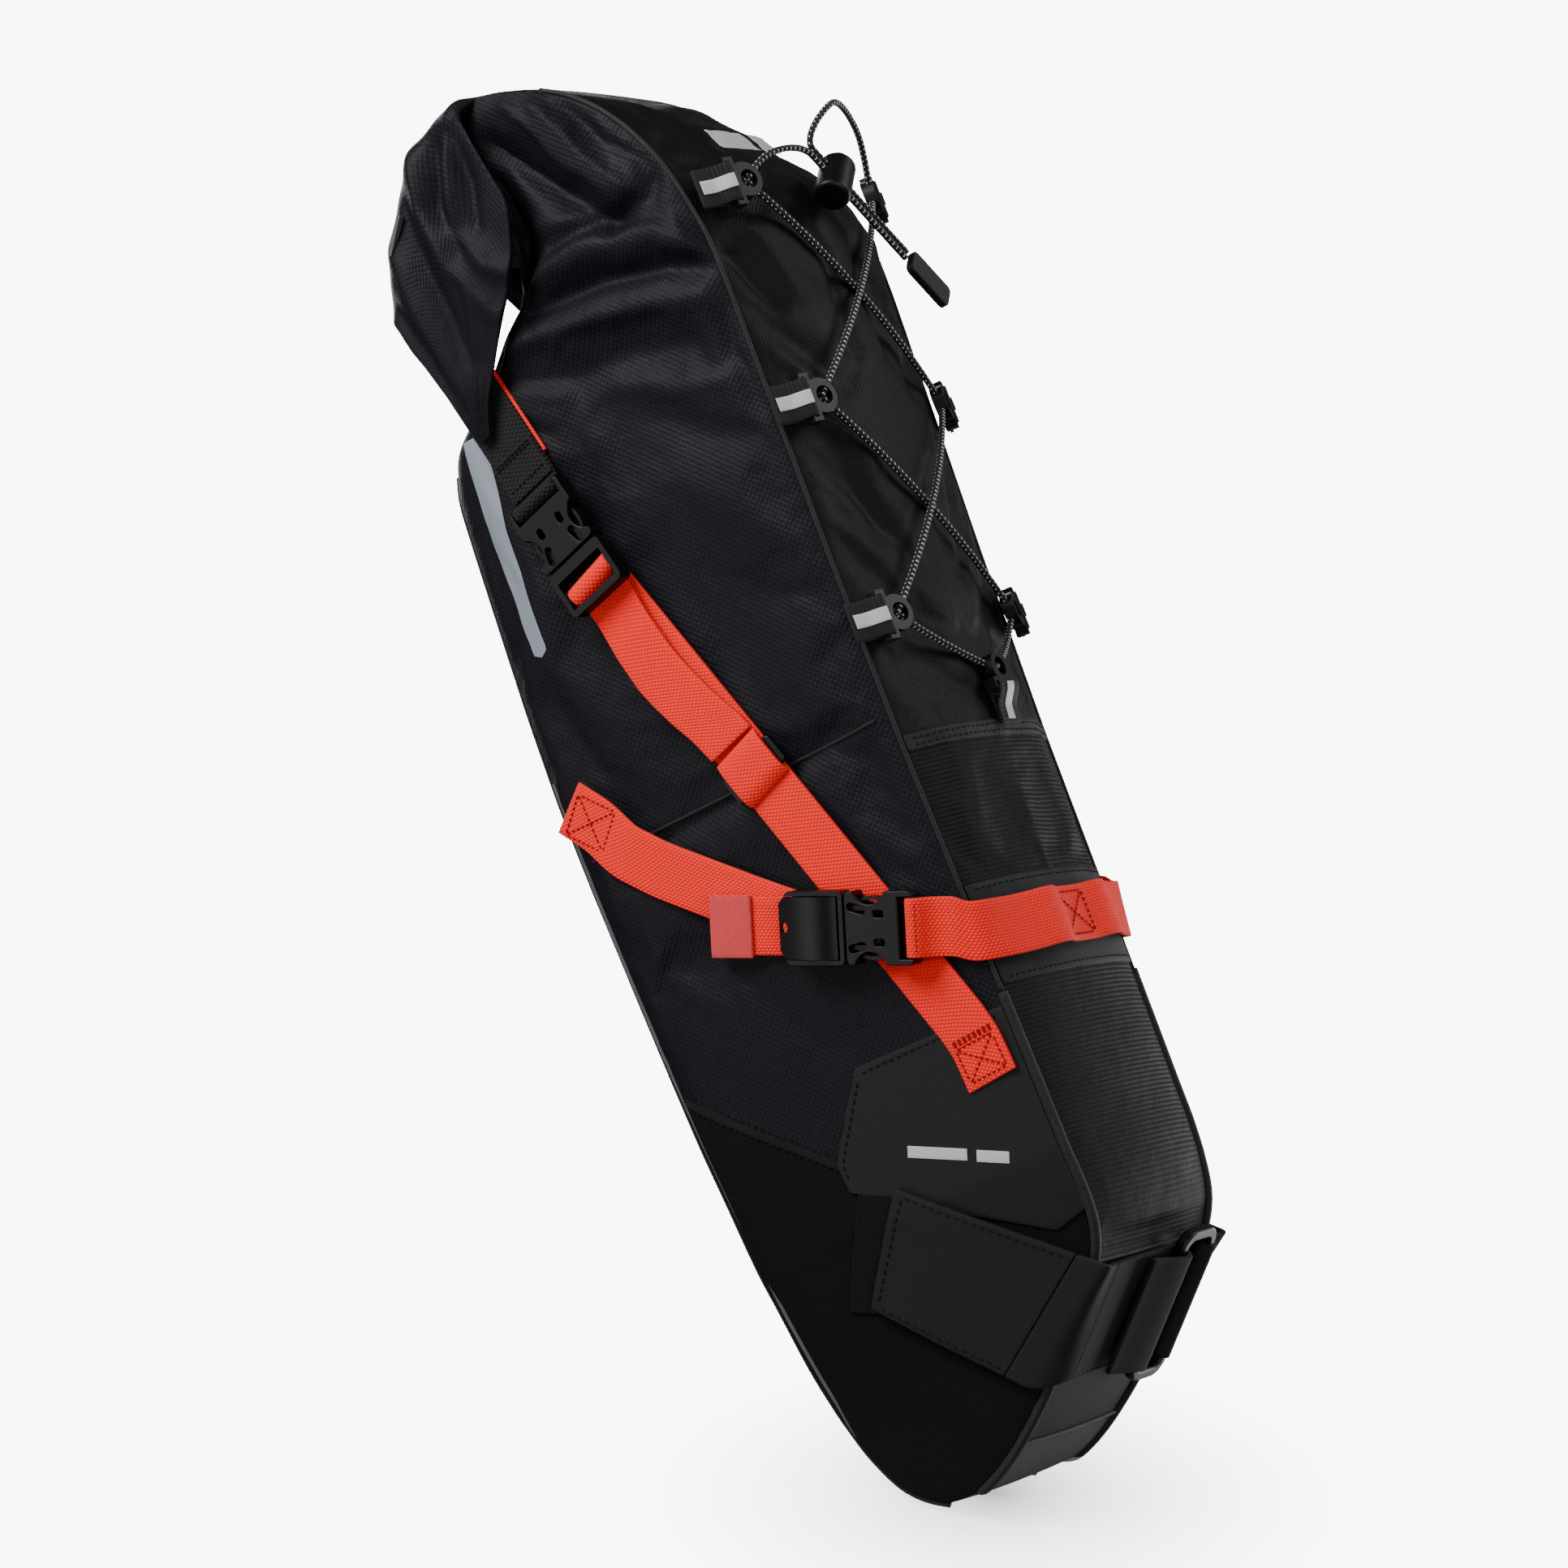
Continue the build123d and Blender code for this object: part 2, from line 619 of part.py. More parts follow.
with BuildPart() as rail_strap:
    with BuildSketch(Plane.XY.offset(STRAP_Z - WEB / 2)):
        add(under_arc(strap_low + WEB_T, strap_half + DROP_OUT))
        for side in (-1, 1):
            with Locations((side * RAIL_X, rail_y)):
                Circle(hump_r + WEB_T)
            with Locations((side * RAIL_X, rail_y + hump_r)):
                Rectangle(2 * (hump_r + WEB_T), 2 * hump_r)
        add(under_arc(strap_low, strap_half + DROP_OUT - WEB_T), mode=Mode.SUBTRACT)
        with Locations((-RAIL_X, rail_y), (RAIL_X, rail_y)):
            Circle(hump_r, mode=Mode.SUBTRACT)
    extrude(amount=WEB)
    for hand in (0, 1):
        bar_run = bar_loop(rail_frame).part + strap_to_bar(rail_frame, 16).part
        if hand:
            bar_run = bar_run.mirror(Plane.YZ)
        add(bar_run)
save(rail_strap, "rail_strap")

# ---------------------------------------------------------------- seatpost strap and its ring
FACE_CLEAR = 2.2        # the strap's height over the seatpost face
RING_X = (13.0, 39.0)   # centres of the ring's near and far bars
RING_H = 73.0
RING_BAR = 5.0
STRAP_HALF_S = POST_STRAP_W / 2

patch_region = [(50, 88), (104, 36), (84, 12), (20, 60)]
save_both(side_layer(patch_region, LAYER_1, 1.2), "hook_patches")
tongue_region = [(49, 78), (84, 36), (31, -14), (-22, 26)]
tongue_low = 2.0
with BuildPart() as strap_tongue:
    add(side_layer(tongue_region, tongue_low, tongue_low + POST_STRAP_T).part)
save(strap_tongue, "seatpost_strap_tongue")


def post_strap(x_from, x_to, bar_x, loop_low, loop_high):
    """Part of the seatpost strap across the face, looped round one bar of the ring."""
    with BuildPart() as strap:
        with BuildSketch(post_plane.offset(FACE_CLEAR)):
            with Locations(((x_from + x_to) / 2, 0)):
                Rectangle(abs(x_to - x_from), POST_STRAP_W)
        extrude(amount=POST_STRAP_T)
        loop_plane = Plane(origin=post_plane.origin, x_dir=post_plane.x_dir, z_dir=-post_plane.y_dir)
        with BuildSketch(loop_plane):
            with Locations((bar_x, (loop_low + loop_high) / 2)):
                Rectangle(RING_BAR + 1.6 + 2 * POST_STRAP_T, loop_high - loop_low)
                Rectangle(RING_BAR + 1.6, loop_high - loop_low - 2 * POST_STRAP_T, mode=Mode.SUBTRACT)
        extrude(amount=STRAP_HALF_S, both=True)
    return strap


near_loop_low = FACE_CLEAR
ring_low = near_loop_low + POST_STRAP_T + 0.8
save(post_strap(-50, RING_X[0] - 4, RING_X[0], near_loop_low, ring_low + RING_BAR + 0.8 + POST_STRAP_T),
     "seatpost_strap_front")
with BuildPart() as strap_left:
    add(post_strap(50, RING_X[1] + 4, RING_X[1], near_loop_low, ring_low + RING_BAR + 5 + POST_STRAP_T).part)
    mirror(strap_tongue.part, about=Plane.YZ)
save(strap_left, "seatpost_strap_left")

with BuildPart() as ring:
    with BuildSketch(post_plane.offset(ring_low)):
        with Locations(((RING_X[0] + RING_X[1]) / 2, 0)):
            RectangleRounded(RING_X[1] - RING_X[0] + RING_BAR, RING_H, 9)
            RectangleRounded(RING_X[1] - RING_X[0] - RING_BAR, RING_H - 2 * RING_BAR, 4.5, mode=Mode.SUBTRACT)
    extrude(amount=RING_BAR)
    fillet(ring.edges().filter_by(post_plane), radius=1.2)
save(ring, "strap_ring")

# ---------------------------------------------------------------- bungee lacing
GUIDES = [(-58, 497), (-57, 398), (-56, 300), (58, 497), (57, 398), (56, 300), (6, 264)]
MIDDLE_X = 10           # a guide this close to the middle faces along the bag
GUIDE_T = 5.6           # leaves a wall above and below the cord's channel
GUIDE_LIFT = 2.9
LOOP_LIFT = 0.6         # clear of the panel, which tilts a little under each loop


def guide_frame(x, z, height):
    """Plane at a cord guide; its x axis points towards the lacing."""
    toward = (0, 1) if abs(x) < MIDDLE_X else (-x, 0)
    return crown_frame(x, z, height, toward)


def guide_eye(x, z):
    """Middle of the cord's hole in a guide."""
    return guide_frame(x, z, GUIDE_LIFT + GUIDE_T / 2).from_local_coords(Vector(7.5, 0, 0))


def over_panel(x, z, height):
    """Point above the top panel."""
    return crown_frame(x, z, height, (0, 1)).origin


lock_frame = crown_frame(-2, 495, FABRIC + 9.6, (1, -1))
CORD_GAP = 2.0          # each cord's offset from the lock's centre line
cord_in = [lock_frame.from_local_coords(Vector(-16, side * CORD_GAP, 0)) for side in (1, -1)]
cord_out = [lock_frame.from_local_coords(Vector(50, side * CORD_GAP, 0)) for side in (1, -1)]
low_cord = FABRIC + SEAM + CORD_R
high_cord = low_cord + 2 * CORD_R + 0.3
cord_runs = [
    [guide_eye(-58, 497), over_panel(0, 446, low_cord), guide_eye(57, 398)],
    [guide_eye(58, 497), over_panel(0, 449, high_cord), guide_eye(-57, 398)],
    [guide_eye(-57, 398), over_panel(0, 347, low_cord), guide_eye(56, 300)],
    [guide_eye(57, 398), over_panel(0, 350, high_cord), guide_eye(-56, 300)],
    [guide_eye(-56, 300), over_panel(-22, 284, low_cord), guide_eye(6, 264)],
    [guide_eye(56, 300), over_panel(32, 284, low_cord), guide_eye(6, 264)],
    [guide_eye(-58, 497), over_panel(-34, 508, 9), cord_in[1]],
    [guide_eye(58, 497), over_panel(32, 521, 13), over_panel(5, 528, 17), cord_in[0]],
]
FREE_RUNS_FROM = 6      # the last runs hang free between the end guides and the lock
CHANNEL_GAP = 0.15      # running clearance between the cord and its channel in a guide


def laced_cord(radius):
    """Every run of the cord at one radius, with the two tails beyond the lock."""
    with BuildPart() as laced:
        for number, run in enumerate(cord_runs):
            with BuildLine() as path:
                if number >= FREE_RUNS_FROM:
                    leave = Vector(run[1] - run[0])
                    Spline(*run, tangents=(leave, lock_frame.x_dir), tangent_scalars=(0.6, 0.8))
                else:
                    Spline(*run)
            with BuildSketch(Plane(origin=path.line @ 0, z_dir=path.line % 0)):
                Circle(radius)
            sweep(path=path.line)
        for start, end in zip(cord_in, cord_out):
            with BuildSketch(Plane(origin=start, z_dir=end - start)):
                Circle(radius)
            extrude(amount=(end - start).length)
    return laced.part


laced_part = laced_cord(CORD_R)
channel_part = laced_cord(CORD_R + CHANNEL_GAP)

with BuildPart() as cord_guides:
    for x, z in GUIDES:
        with BuildSketch(guide_frame(x, z, GUIDE_LIFT)):
            Rectangle(5, 22)
            with Locations((6, 0)):
                Circle(8)
            with Locations((-0.4, 0)):
                RectangleRounded(2.8, 18.6, 1, mode=Mode.SUBTRACT)
            with Locations((7.5, 0)):
                Circle(4.2, mode=Mode.SUBTRACT)
        extrude(amount=GUIDE_T)
    add(channel_part, mode=Mode.SUBTRACT)
save(cord_guides, "cord_guides")

with BuildPart() as guide_loops:
    for x, z in GUIDES:
        with BuildSketch(guide_frame(x, z, FABRIC + LOOP_LIFT)):
            with Locations((-8, 0)):
                Rectangle(14, 18)
        extrude(amount=0.5)
        with BuildSketch(guide_frame(x, z, FABRIC + LOOP_LIFT + 0.5)):
            with Locations((-12, 0)):
                Rectangle(6, 18)
        extrude(amount=0.8)
save(guide_loops, "guide_loops")

with BuildPart() as bungee_cord:
    add(laced_part)
save(bungee_cord, "bungee_cord")

# Cord lock: a barrel with a sprung plunger; both are slotted for the two cord ends
LOCK_R = 8.0
BORE_R = 5.1
PLUNGER_R = 5.0
LOCK_ENDS = (-14.0, 9.0)
BORE_END = -12.0
PRESS_TRAVEL = 2.5
SPRING_L = 3.0
barrel_start = Plane(origin=lock_frame.origin, x_dir=lock_frame.x_dir, z_dir=lock_frame.y_dir)


def cord_slot(y_low, y_high):
    """Straight slot along the cords, drawn across the lock."""
    slot_plane = Plane(origin=lock_frame.origin, x_dir=lock_frame.y_dir, z_dir=lock_frame.x_dir)
    with BuildPart() as slot:
        with BuildSketch(slot_plane):
            with Locations(((y_low + y_high) / 2, 0)):
                RectangleRounded(y_high - y_low, 3.8, 1.8)
        extrude(amount=2 * LOCK_R, both=True)
    return slot.part


with BuildPart() as cord_lock_body:
    with BuildSketch(barrel_start.offset(LOCK_ENDS[0])):
        Circle(LOCK_R)
    extrude(amount=LOCK_ENDS[1] - LOCK_ENDS[0])
    fillet(cord_lock_body.edges(), radius=2)
    with BuildSketch(barrel_start.offset(BORE_END)):
        Circle(BORE_R)
    extrude(amount=LOCK_ENDS[1] - BORE_END + 1, mode=Mode.SUBTRACT)
    add(cord_slot(-4.2, 4.2), mode=Mode.SUBTRACT)
save(cord_lock_body, "cord_lock_body")

with BuildPart() as cord_lock_button:
    with BuildSketch(barrel_start.offset(-6)):
        Circle(PLUNGER_R)
    extrude(amount=19)
    fillet(cord_lock_button.edges().sort_by(Axis(barrel_start.origin, barrel_start.z_dir))[-1], radius=1.5)
    add(cord_slot(-4.2, 4.2 + PRESS_TRAVEL), mode=Mode.SUBTRACT)
save(cord_lock_button, "cord_lock_button")

with BuildPart() as cord_lock_spring:
    with BuildLine() as coil:
        Helix(pitch=1.0, height=SPRING_L - 0.8, radius=3.6)
    with BuildSketch(Plane(origin=coil.line @ 0, z_dir=coil.line % 0)):
        Circle(0.3)
    sweep(path=coil.line)
spring_place = barrel_start.offset(BORE_END + 0.5)
with BuildPart() as placed_spring:
    add(cord_lock_spring.part.moved(spring_place.location))
save(placed_spring, "cord_lock_spring")

PULL_TAB = (27.0, 13.0, 4.0)
pull_plane = Plane(origin=lock_frame.from_local_coords(Vector(52.6, 0, -PULL_TAB[2] / 2)),
                   x_dir=lock_frame.x_dir, z_dir=lock_frame.z_dir)
with BuildPart() as pull_tab:
    with BuildSketch(pull_plane):
        with Locations((PULL_TAB[0] / 2, 0)):
            RectangleRounded(PULL_TAB[0], PULL_TAB[1], 3)
    extrude(amount=PULL_TAB[2])
    fillet(pull_tab.edges(), radius=1)
save(pull_tab, "pull_tab")

# ---------------------------------------------------------------- trims
patch_outline = [(73, 84), (73, 96), (47, 129), (-29, 129), (-29, 40), (-20, 34), (14, 66), (46, 88)]
save_both(side_layer(patch_outline, 0.05, 0.15), "side_patches")
stripe_outline = [(104, 452), (114, 452), (120, 400), (120, 352), (115, 348), (110, 352), (109, 400)]
save_both(side_layer(stripe_outline, 0.05, 0.35), "reflective_stripes")

PIPING_R = 1.5
PIPING_Z = (70.0, 240.0)
with BuildPart() as edge_piping:
    ends = [Vector(-half_width(z) - 1.4, TOP_Y - 0.8, z) for z in PIPING_Z]
    with BuildSketch(Plane(origin=ends[0], z_dir=ends[1] - ends[0])):
        Circle(PIPING_R)
    extrude(amount=(ends[1] - ends[0]).length)
save_both(edge_piping, "edge_piping")
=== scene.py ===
"""Bikepacking seat pack: fabric, webbing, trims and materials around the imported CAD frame."""

import math

import bmesh
import bpy
import numpy as np
from mathutils import Matrix, Vector
from mathutils.bvhtree import BVHTree


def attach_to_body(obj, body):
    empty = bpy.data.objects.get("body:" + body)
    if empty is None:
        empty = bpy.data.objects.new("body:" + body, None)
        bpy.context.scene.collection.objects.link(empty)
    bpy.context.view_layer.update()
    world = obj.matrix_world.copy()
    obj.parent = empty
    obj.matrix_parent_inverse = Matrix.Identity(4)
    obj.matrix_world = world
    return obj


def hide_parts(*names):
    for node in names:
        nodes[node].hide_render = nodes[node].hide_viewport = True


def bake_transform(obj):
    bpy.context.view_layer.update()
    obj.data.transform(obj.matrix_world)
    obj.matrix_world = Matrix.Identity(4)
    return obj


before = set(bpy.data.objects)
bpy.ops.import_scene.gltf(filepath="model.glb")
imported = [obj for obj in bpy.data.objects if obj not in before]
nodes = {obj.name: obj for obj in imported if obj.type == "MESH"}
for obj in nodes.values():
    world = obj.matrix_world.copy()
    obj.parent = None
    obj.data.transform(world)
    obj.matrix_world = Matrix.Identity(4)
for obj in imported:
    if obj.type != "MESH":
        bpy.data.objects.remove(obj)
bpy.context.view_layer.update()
MM = 0.001
SIDES = (("right", 1.0), ("left", -1.0))    # the second number keeps or mirrors x


# ------------------------------------------------------------------ node material helpers
class Value:
    """A number made by a material's nodes, with Python's arithmetic."""

    def __init__(self, shader, socket):
        self.shader, self.socket = shader, socket

    def __add__(self, other):
        return self.shader.math("ADD", self, other)

    def __sub__(self, other):
        return self.shader.math("SUBTRACT", self, other)

    def __mul__(self, other):
        return self.shader.math("MULTIPLY", self, other)


class Shader:
    """A material's node tree with short calls for the nodes used here."""

    def __init__(self, name):
        self.material = bpy.data.materials.new(name)
        self.material.use_nodes = True
        self.tree = self.material.node_tree
        self.bsdf = self.tree.nodes["Principled BSDF"]
        self.output = self.tree.nodes["Material Output"]

    def node(self, kind, **settings):
        made = self.tree.nodes.new(kind)
        for key, value in settings.items():
            setattr(made, key, value)
        return made

    def feed(self, slot, value):
        """Give an input a number, a colour or another node's output."""
        if isinstance(value, (int, float)):
            slot.default_value = value
        elif isinstance(value, (tuple, list)):
            slot.default_value = (*value, 1)
        else:
            self.tree.links.new(value.socket if isinstance(value, Value) else value, slot)

    def math(self, operation, a, b=None, clamp=False):
        made = self.node("ShaderNodeMath", operation=operation, use_clamp=clamp)
        self.feed(made.inputs[0], a)
        if b is not None:
            self.feed(made.inputs[1], b)
        return Value(self, made.outputs[0])

    def vector(self, operation, *sources):
        made = self.node("ShaderNodeVectorMath", operation=operation)
        for slot, source in zip(made.inputs, sources):
            self.feed(slot, source)
        return made

    def mix(self, factor, a, b):
        made = self.node("ShaderNodeMix", data_type="RGBA")
        for slot, value in ((0, factor), (6, a), (7, b)):
            self.feed(made.inputs[slot], value)
        return made.outputs[2]

    def split(self, vector):
        made = self.node("ShaderNodeSeparateXYZ")
        self.feed(made.inputs[0], vector)
        return [Value(self, output) for output in made.outputs]

    def place(self):
        """Object coordinates in millimetres, for noise."""
        scaled = self.vector("SCALE", self.node("ShaderNodeTexCoord").outputs["Object"])
        scaled.inputs["Scale"].default_value = 1000
        return scaled.outputs[0]

    def cloth_uv(self):
        """The piece's own two directions in millimetres, from its UV map."""
        return self.split(self.node("ShaderNodeUVMap", uv_map="cloth").outputs[0])[:2]

    def noise(self, scale, detail=3.0, rough=0.55):
        made = self.node("ShaderNodeTexNoise")
        self.feed(made.inputs["Vector"], self.place())
        for key, value in (("Scale", scale), ("Detail", detail), ("Roughness", rough)):
            made.inputs[key].default_value = value
        return Value(self, made.outputs[0])

    def sine(self, value, period, phase=None):
        turned = value * (2 * math.pi / period)
        return self.math("SINE", turned if phase is None else turned + phase)

    def wave(self, value, period, phase=None):
        """Sine from 0 to 1 with a period in millimetres."""
        return self.sine(value, period, phase) * 0.5 + 0.5

    def bump(self, height, distance, strength=1.0, under=None):
        made = self.node("ShaderNodeBump")
        made.inputs["Strength"].default_value = strength
        made.inputs["Distance"].default_value = distance * MM
        self.feed(made.inputs["Height"], height)
        if under is not None:
            self.feed(made.inputs["Normal"], under)
        return made.outputs[0]

    def finish(self, colour, rough, normal, sheen=0.0, specular=0.4):
        for key, value in (("Base Color", colour), ("Roughness", rough), ("Normal", normal),
                           ("Sheen Weight", sheen), ("Specular IOR Level", specular)):
            self.feed(self.bsdf.inputs[key], value)
        return self.material


def shade(colour, factor):
    return tuple(min(1.0, channel * factor) for channel in colour)


# the boots' upper edge on the side, where the cloth colour changes: z = EDGE_Z at y = BEND_Y
BEND_Y, EDGE_Z, SLOPE_BACK, SLOPE_FRONT = 53, 80, 0.825, 0.3


def woven(name, colour, period, depth, rough, ribbed=0.0, sheen=0.0, specular=0.15, lower=None):
    """Plain weave; ribbed above 0 draws it into crosswise ribs; lower is the colour below the boots' edge."""
    s = Shader(name)
    u, v = s.cloth_uv()
    if ribbed:
        weave = s.wave(v, period) * ribbed + s.wave(u, period * 0.7) * (1 - ribbed)
    else:
        weave = s.sine(u, period) * s.sine(v, period) * 0.5 + 0.5
    broad = s.noise(0.03)
    tone = weave * 0.75 + s.noise(2.5, 2.0) * 0.25
    cloth = s.mix(tone, shade(colour, 0.15), shade(colour, 2.1))
    cloth = s.mix(broad * 0.35, cloth, shade(colour, 1.3))
    roughness = broad * 0.18 + (rough - 0.09)
    if lower:
        _, y, z = s.split(s.place())
        behind = s.math("MAXIMUM", y - BEND_Y, 0) * SLOPE_BACK
        ahead = s.math("MINIMUM", y - BEND_Y, 0) * SLOPE_FRONT
        below = s.math("LESS_THAN", z, behind + ahead + EDGE_Z)
        cloth = s.mix(below, cloth, s.mix(tone, shade(lower, 0.5), shade(lower, 1.4)))
        roughness = roughness + below * 0.3
    wrinkle = s.bump(s.noise(0.09, 4.0, 0.6), 1.6, 0.5)
    return s.finish(cloth, roughness, s.bump(weave, depth, 0.9, wrinkle), sheen, specular)


def webbing(name, colour, rib, row, rough=0.7, depth=0.35):
    """Thick webbing: offset rows of yarn along the strap."""
    s = Shader(name)
    u, v = s.cloth_uv()
    phase = s.math("FLOOR", s.math("DIVIDE", v, row)) * math.pi
    groove = s.math("ABSOLUTE", s.sine(v, 2 * row))
    height = s.wave(u, rib, phase) * groove
    tone = height * 0.75 + s.noise(1.5) * 0.25
    cloth = s.mix(tone, shade(colour, 0.55), shade(colour, 1.3))
    return s.finish(cloth, rough, s.bump(height, depth, 0.9), 0.03, 0.16)


def moulded(name, colour, rough=0.42):
    """Moulded satin plastic with a fine spark texture and slight edge wear."""
    s = Shader(name)
    grain = s.noise(4.0, 4.0, 0.6)
    broad = s.noise(0.12)
    rounded = s.node("ShaderNodeBevel", samples=4)
    rounded.inputs["Radius"].default_value = 0.7 * MM
    level = s.vector("DOT_PRODUCT", rounded.outputs[0], s.node("ShaderNodeNewGeometry").outputs["Normal"])
    edge = s.math("SUBTRACT", 0.94, level.outputs["Value"], True)
    worn = s.math("MULTIPLY", edge, 2.0, True) * s.noise(0.9)
    body = s.mix(broad, shade(colour, 0.8), shade(colour, 1.25))
    body = s.mix(worn, body, shade(colour, 3.5))
    return s.finish(body, grain * 0.14 + (rough - 0.07), s.bump(grain, 0.05, 0.5), 0, 0.20)


def coated(name, colour, rough, depth=0.12, scale=1.4):
    """Smooth rubber-like coating with a faint orange-peel surface."""
    s = Shader(name)
    peel = s.noise(scale, 5.0, 0.65)
    body = s.mix(s.noise(0.05), shade(colour, 0.82), shade(colour, 1.22))
    return s.finish(body, peel * 0.2 + (rough - 0.1), s.bump(peel, depth, 0.8), 0.0, 0.22)


def fuzzy(name, colour, sheen):
    """Loop pile of a hook-and-loop strip."""
    s = Shader(name)
    pile = s.noise(1.6, 6.0, 0.8)
    body = s.mix(pile, shade(colour, 0.3), shade(colour, 2.2))
    return s.finish(body, 0.95, s.bump(pile, 1.1, 1.0), sheen, 0.08)


def flecked_cord(name):
    """Black braided elastic with paired pale flecks."""
    s = Shader(name)
    u, v = s.cloth_uv()
    braid = s.wave(u + v, 1.3) * s.wave(u - v, 1.3)
    step = s.wave(u + v * 0.3, 2.6)
    spot = s.math("GREATER_THAN", step, 0.86) * s.math("GREATER_THAN", s.wave(v, 1.9), 0.78)
    body = s.mix(spot, s.mix(braid, (0.002, 0.002, 0.0025), (0.014, 0.014, 0.015)), (0.62, 0.62, 0.62))
    return s.finish(body, 0.75, s.bump(braid, 0.25, 0.9), 0.05, 0.2)


def reflective(name, colour):
    """Grey glass-bead print."""
    s = Shader(name)
    beads = s.noise(5.0, 3.0, 0.7)
    body = s.mix(beads, shade(colour, 0.8), shade(colour, 1.2))
    return s.finish(body, 0.5, s.bump(beads, 0.05, 0.6), 0.0, 0.5)


def bright_wire(name):
    s = Shader(name)
    grain = s.noise(6.0, 3.0)
    s.bsdf.inputs["Metallic"].default_value = 1.0
    return s.finish(s.mix(grain, (0.45, 0.45, 0.46), (0.7, 0.7, 0.71)), 0.3, s.bump(grain, 0.03))


MAT = {
    "fabric": woven("side_weave", (0.0030, 0.0028, 0.0046), 2.9, 0.17, 0.58, specular=0.10,
                    lower=(0.0024, 0.0022, 0.0036)),
    "top": woven("top_weave", (0.0019, 0.0017, 0.0026), 1.9, 0.14, 0.54, specular=0.10),
    "ribbed": woven("ribbed_weave", (0.0042, 0.0039, 0.0056), 1.9, 0.26, 0.66, ribbed=0.85, specular=0.09),
    "boot": woven("boot_weave", (0.0026, 0.0025, 0.0032), 1.6, 0.22, 0.80, sheen=0.02),
    "collar_band": woven("hem_weave", (0.0050, 0.0050, 0.0060), 1.6, 0.25, 0.65, 0.6, 0.03, 0.2),
    "patch": coated("coated_patch", (0.0030, 0.0027, 0.0030), 0.66),
    "tip": coated("pebbled_tip", (0.045, 0.042, 0.044), 0.74, 0.45, 0.9),
    "strap": coated("strap_face", (0.0046, 0.0044, 0.0048), 0.80, 0.10, 2.0),
    "red": webbing("red_webbing", (0.93, 0.012, 0.006), 1.9, 1.3),
    "coral": fuzzy("coral_tab", (1.0, 0.048, 0.052), 0.05),
    "black_web": webbing("black_webbing", (0.0040, 0.0038, 0.0044), 2.2, 1.7, 0.72, 0.5),
    "loop_web": webbing("loop_webbing", (0.0060, 0.0060, 0.0066), 1.9, 30.0, 0.7, 0.5),
    "hook": fuzzy("loop_pile", (0.0012, 0.0012, 0.0014), 0.04),
    "plastic": moulded("black_plastic", (0.0014, 0.0013, 0.0016)),
    "stiffener": moulded("grey_sheet", (0.05, 0.05, 0.055), 0.55),
    "grey": reflective("grey_print", (0.150, 0.172, 0.200)),
    "pale_grey": reflective("pale_print", (0.34, 0.345, 0.36)),
    "cord": flecked_cord("flecked_cord"),
    "wire": bright_wire("spring_wire"),
    "thread": woven("dark_thread", (0.0020, 0.0018, 0.0023), 0.8, 0.05, 0.7),
    "red_thread": woven("dark_red_thread", (0.16, 0.004, 0.004), 0.8, 0.05, 0.75),
    "rubber": coated("rubber_tab", (0.0040, 0.0038, 0.0044), 0.6, 0.08, 2.5),
}


# ------------------------------------------------------------------ mesh helpers, millimetres in
def unit(v):
    v = np.asarray(v, float)
    return v / (np.linalg.norm(v, axis=-1, keepdims=True) + 1e-12)


def build(name, points, faces, material, uv=None):
    """A mesh object from millimetre points; uv holds one pair of millimetres per point."""
    mesh = bpy.data.meshes.new(name)
    mesh.from_pydata((np.asarray(points) * MM).tolist(), [], faces)
    if uv is not None:
        layer = mesh.uv_layers.new(name="cloth")
        loops = np.zeros(len(mesh.loops), int)
        mesh.loops.foreach_get("vertex_index", loops)
        layer.data.foreach_set("uv", np.asarray(uv, float)[loops].ravel())
    mesh.materials.append(MAT[material])
    mesh.polygons.foreach_set("use_smooth", [True] * len(mesh.polygons))
    mesh.update()
    piece = bpy.data.objects.new(name, mesh)
    bpy.context.scene.collection.objects.link(piece)
    return piece


def outward(piece):
    """Make the piece's face normals point out of the solid."""
    bm = bmesh.new()
    bm.from_mesh(piece.data)
    bmesh.ops.recalc_face_normals(bm, faces=bm.faces)
    bm.to_mesh(piece.data)
    bm.free()
    return piece


def grid_normals(p):
    return unit(np.cross(np.gradient(p, axis=0), np.gradient(p, axis=1)))


def run_length(path):
    """Distance along a polyline at each of its points."""
    return np.concatenate([[0], np.cumsum(np.linalg.norm(np.diff(path, axis=0), axis=1))])


def relax(p, rounds):
    """Average each point with its neighbours, in place, keeping the ends."""
    for _ in range(rounds):
        p[1:-1] = 0.25 * p[:-2] + 0.5 * p[1:-1] + 0.25 * p[2:]
    return p


def grid_uv(p, row, column):
    """UV in millimetres, measured along one column and one row of a grid."""
    axes = np.meshgrid(run_length(p[:, column]), run_length(p[row]), indexing="ij")
    return np.stack(axes, -1).reshape(-1, 2)


def grid_faces(n, m, closed=False):
    """Quads of an n by m grid of points; closed joins its last column to its first."""
    return [(i * m + j, i * m + (j + 1) % m, (i + 1) * m + (j + 1) % m, (i + 1) * m + j)
            for i in range(n - 1) for j in range(m if closed else m - 1)]


def bevelled(piece, width, angle):
    edge = piece.modifiers.new("edge", "BEVEL")
    edge.width = width * MM
    edge.segments = 2
    edge.limit_method = "ANGLE"
    edge.angle_limit = math.radians(angle)
    return piece


def subdivided(piece):
    smoother = piece.modifiers.new("smooth", "SUBSURF")
    smoother.levels = smoother.render_levels = 1
    return piece


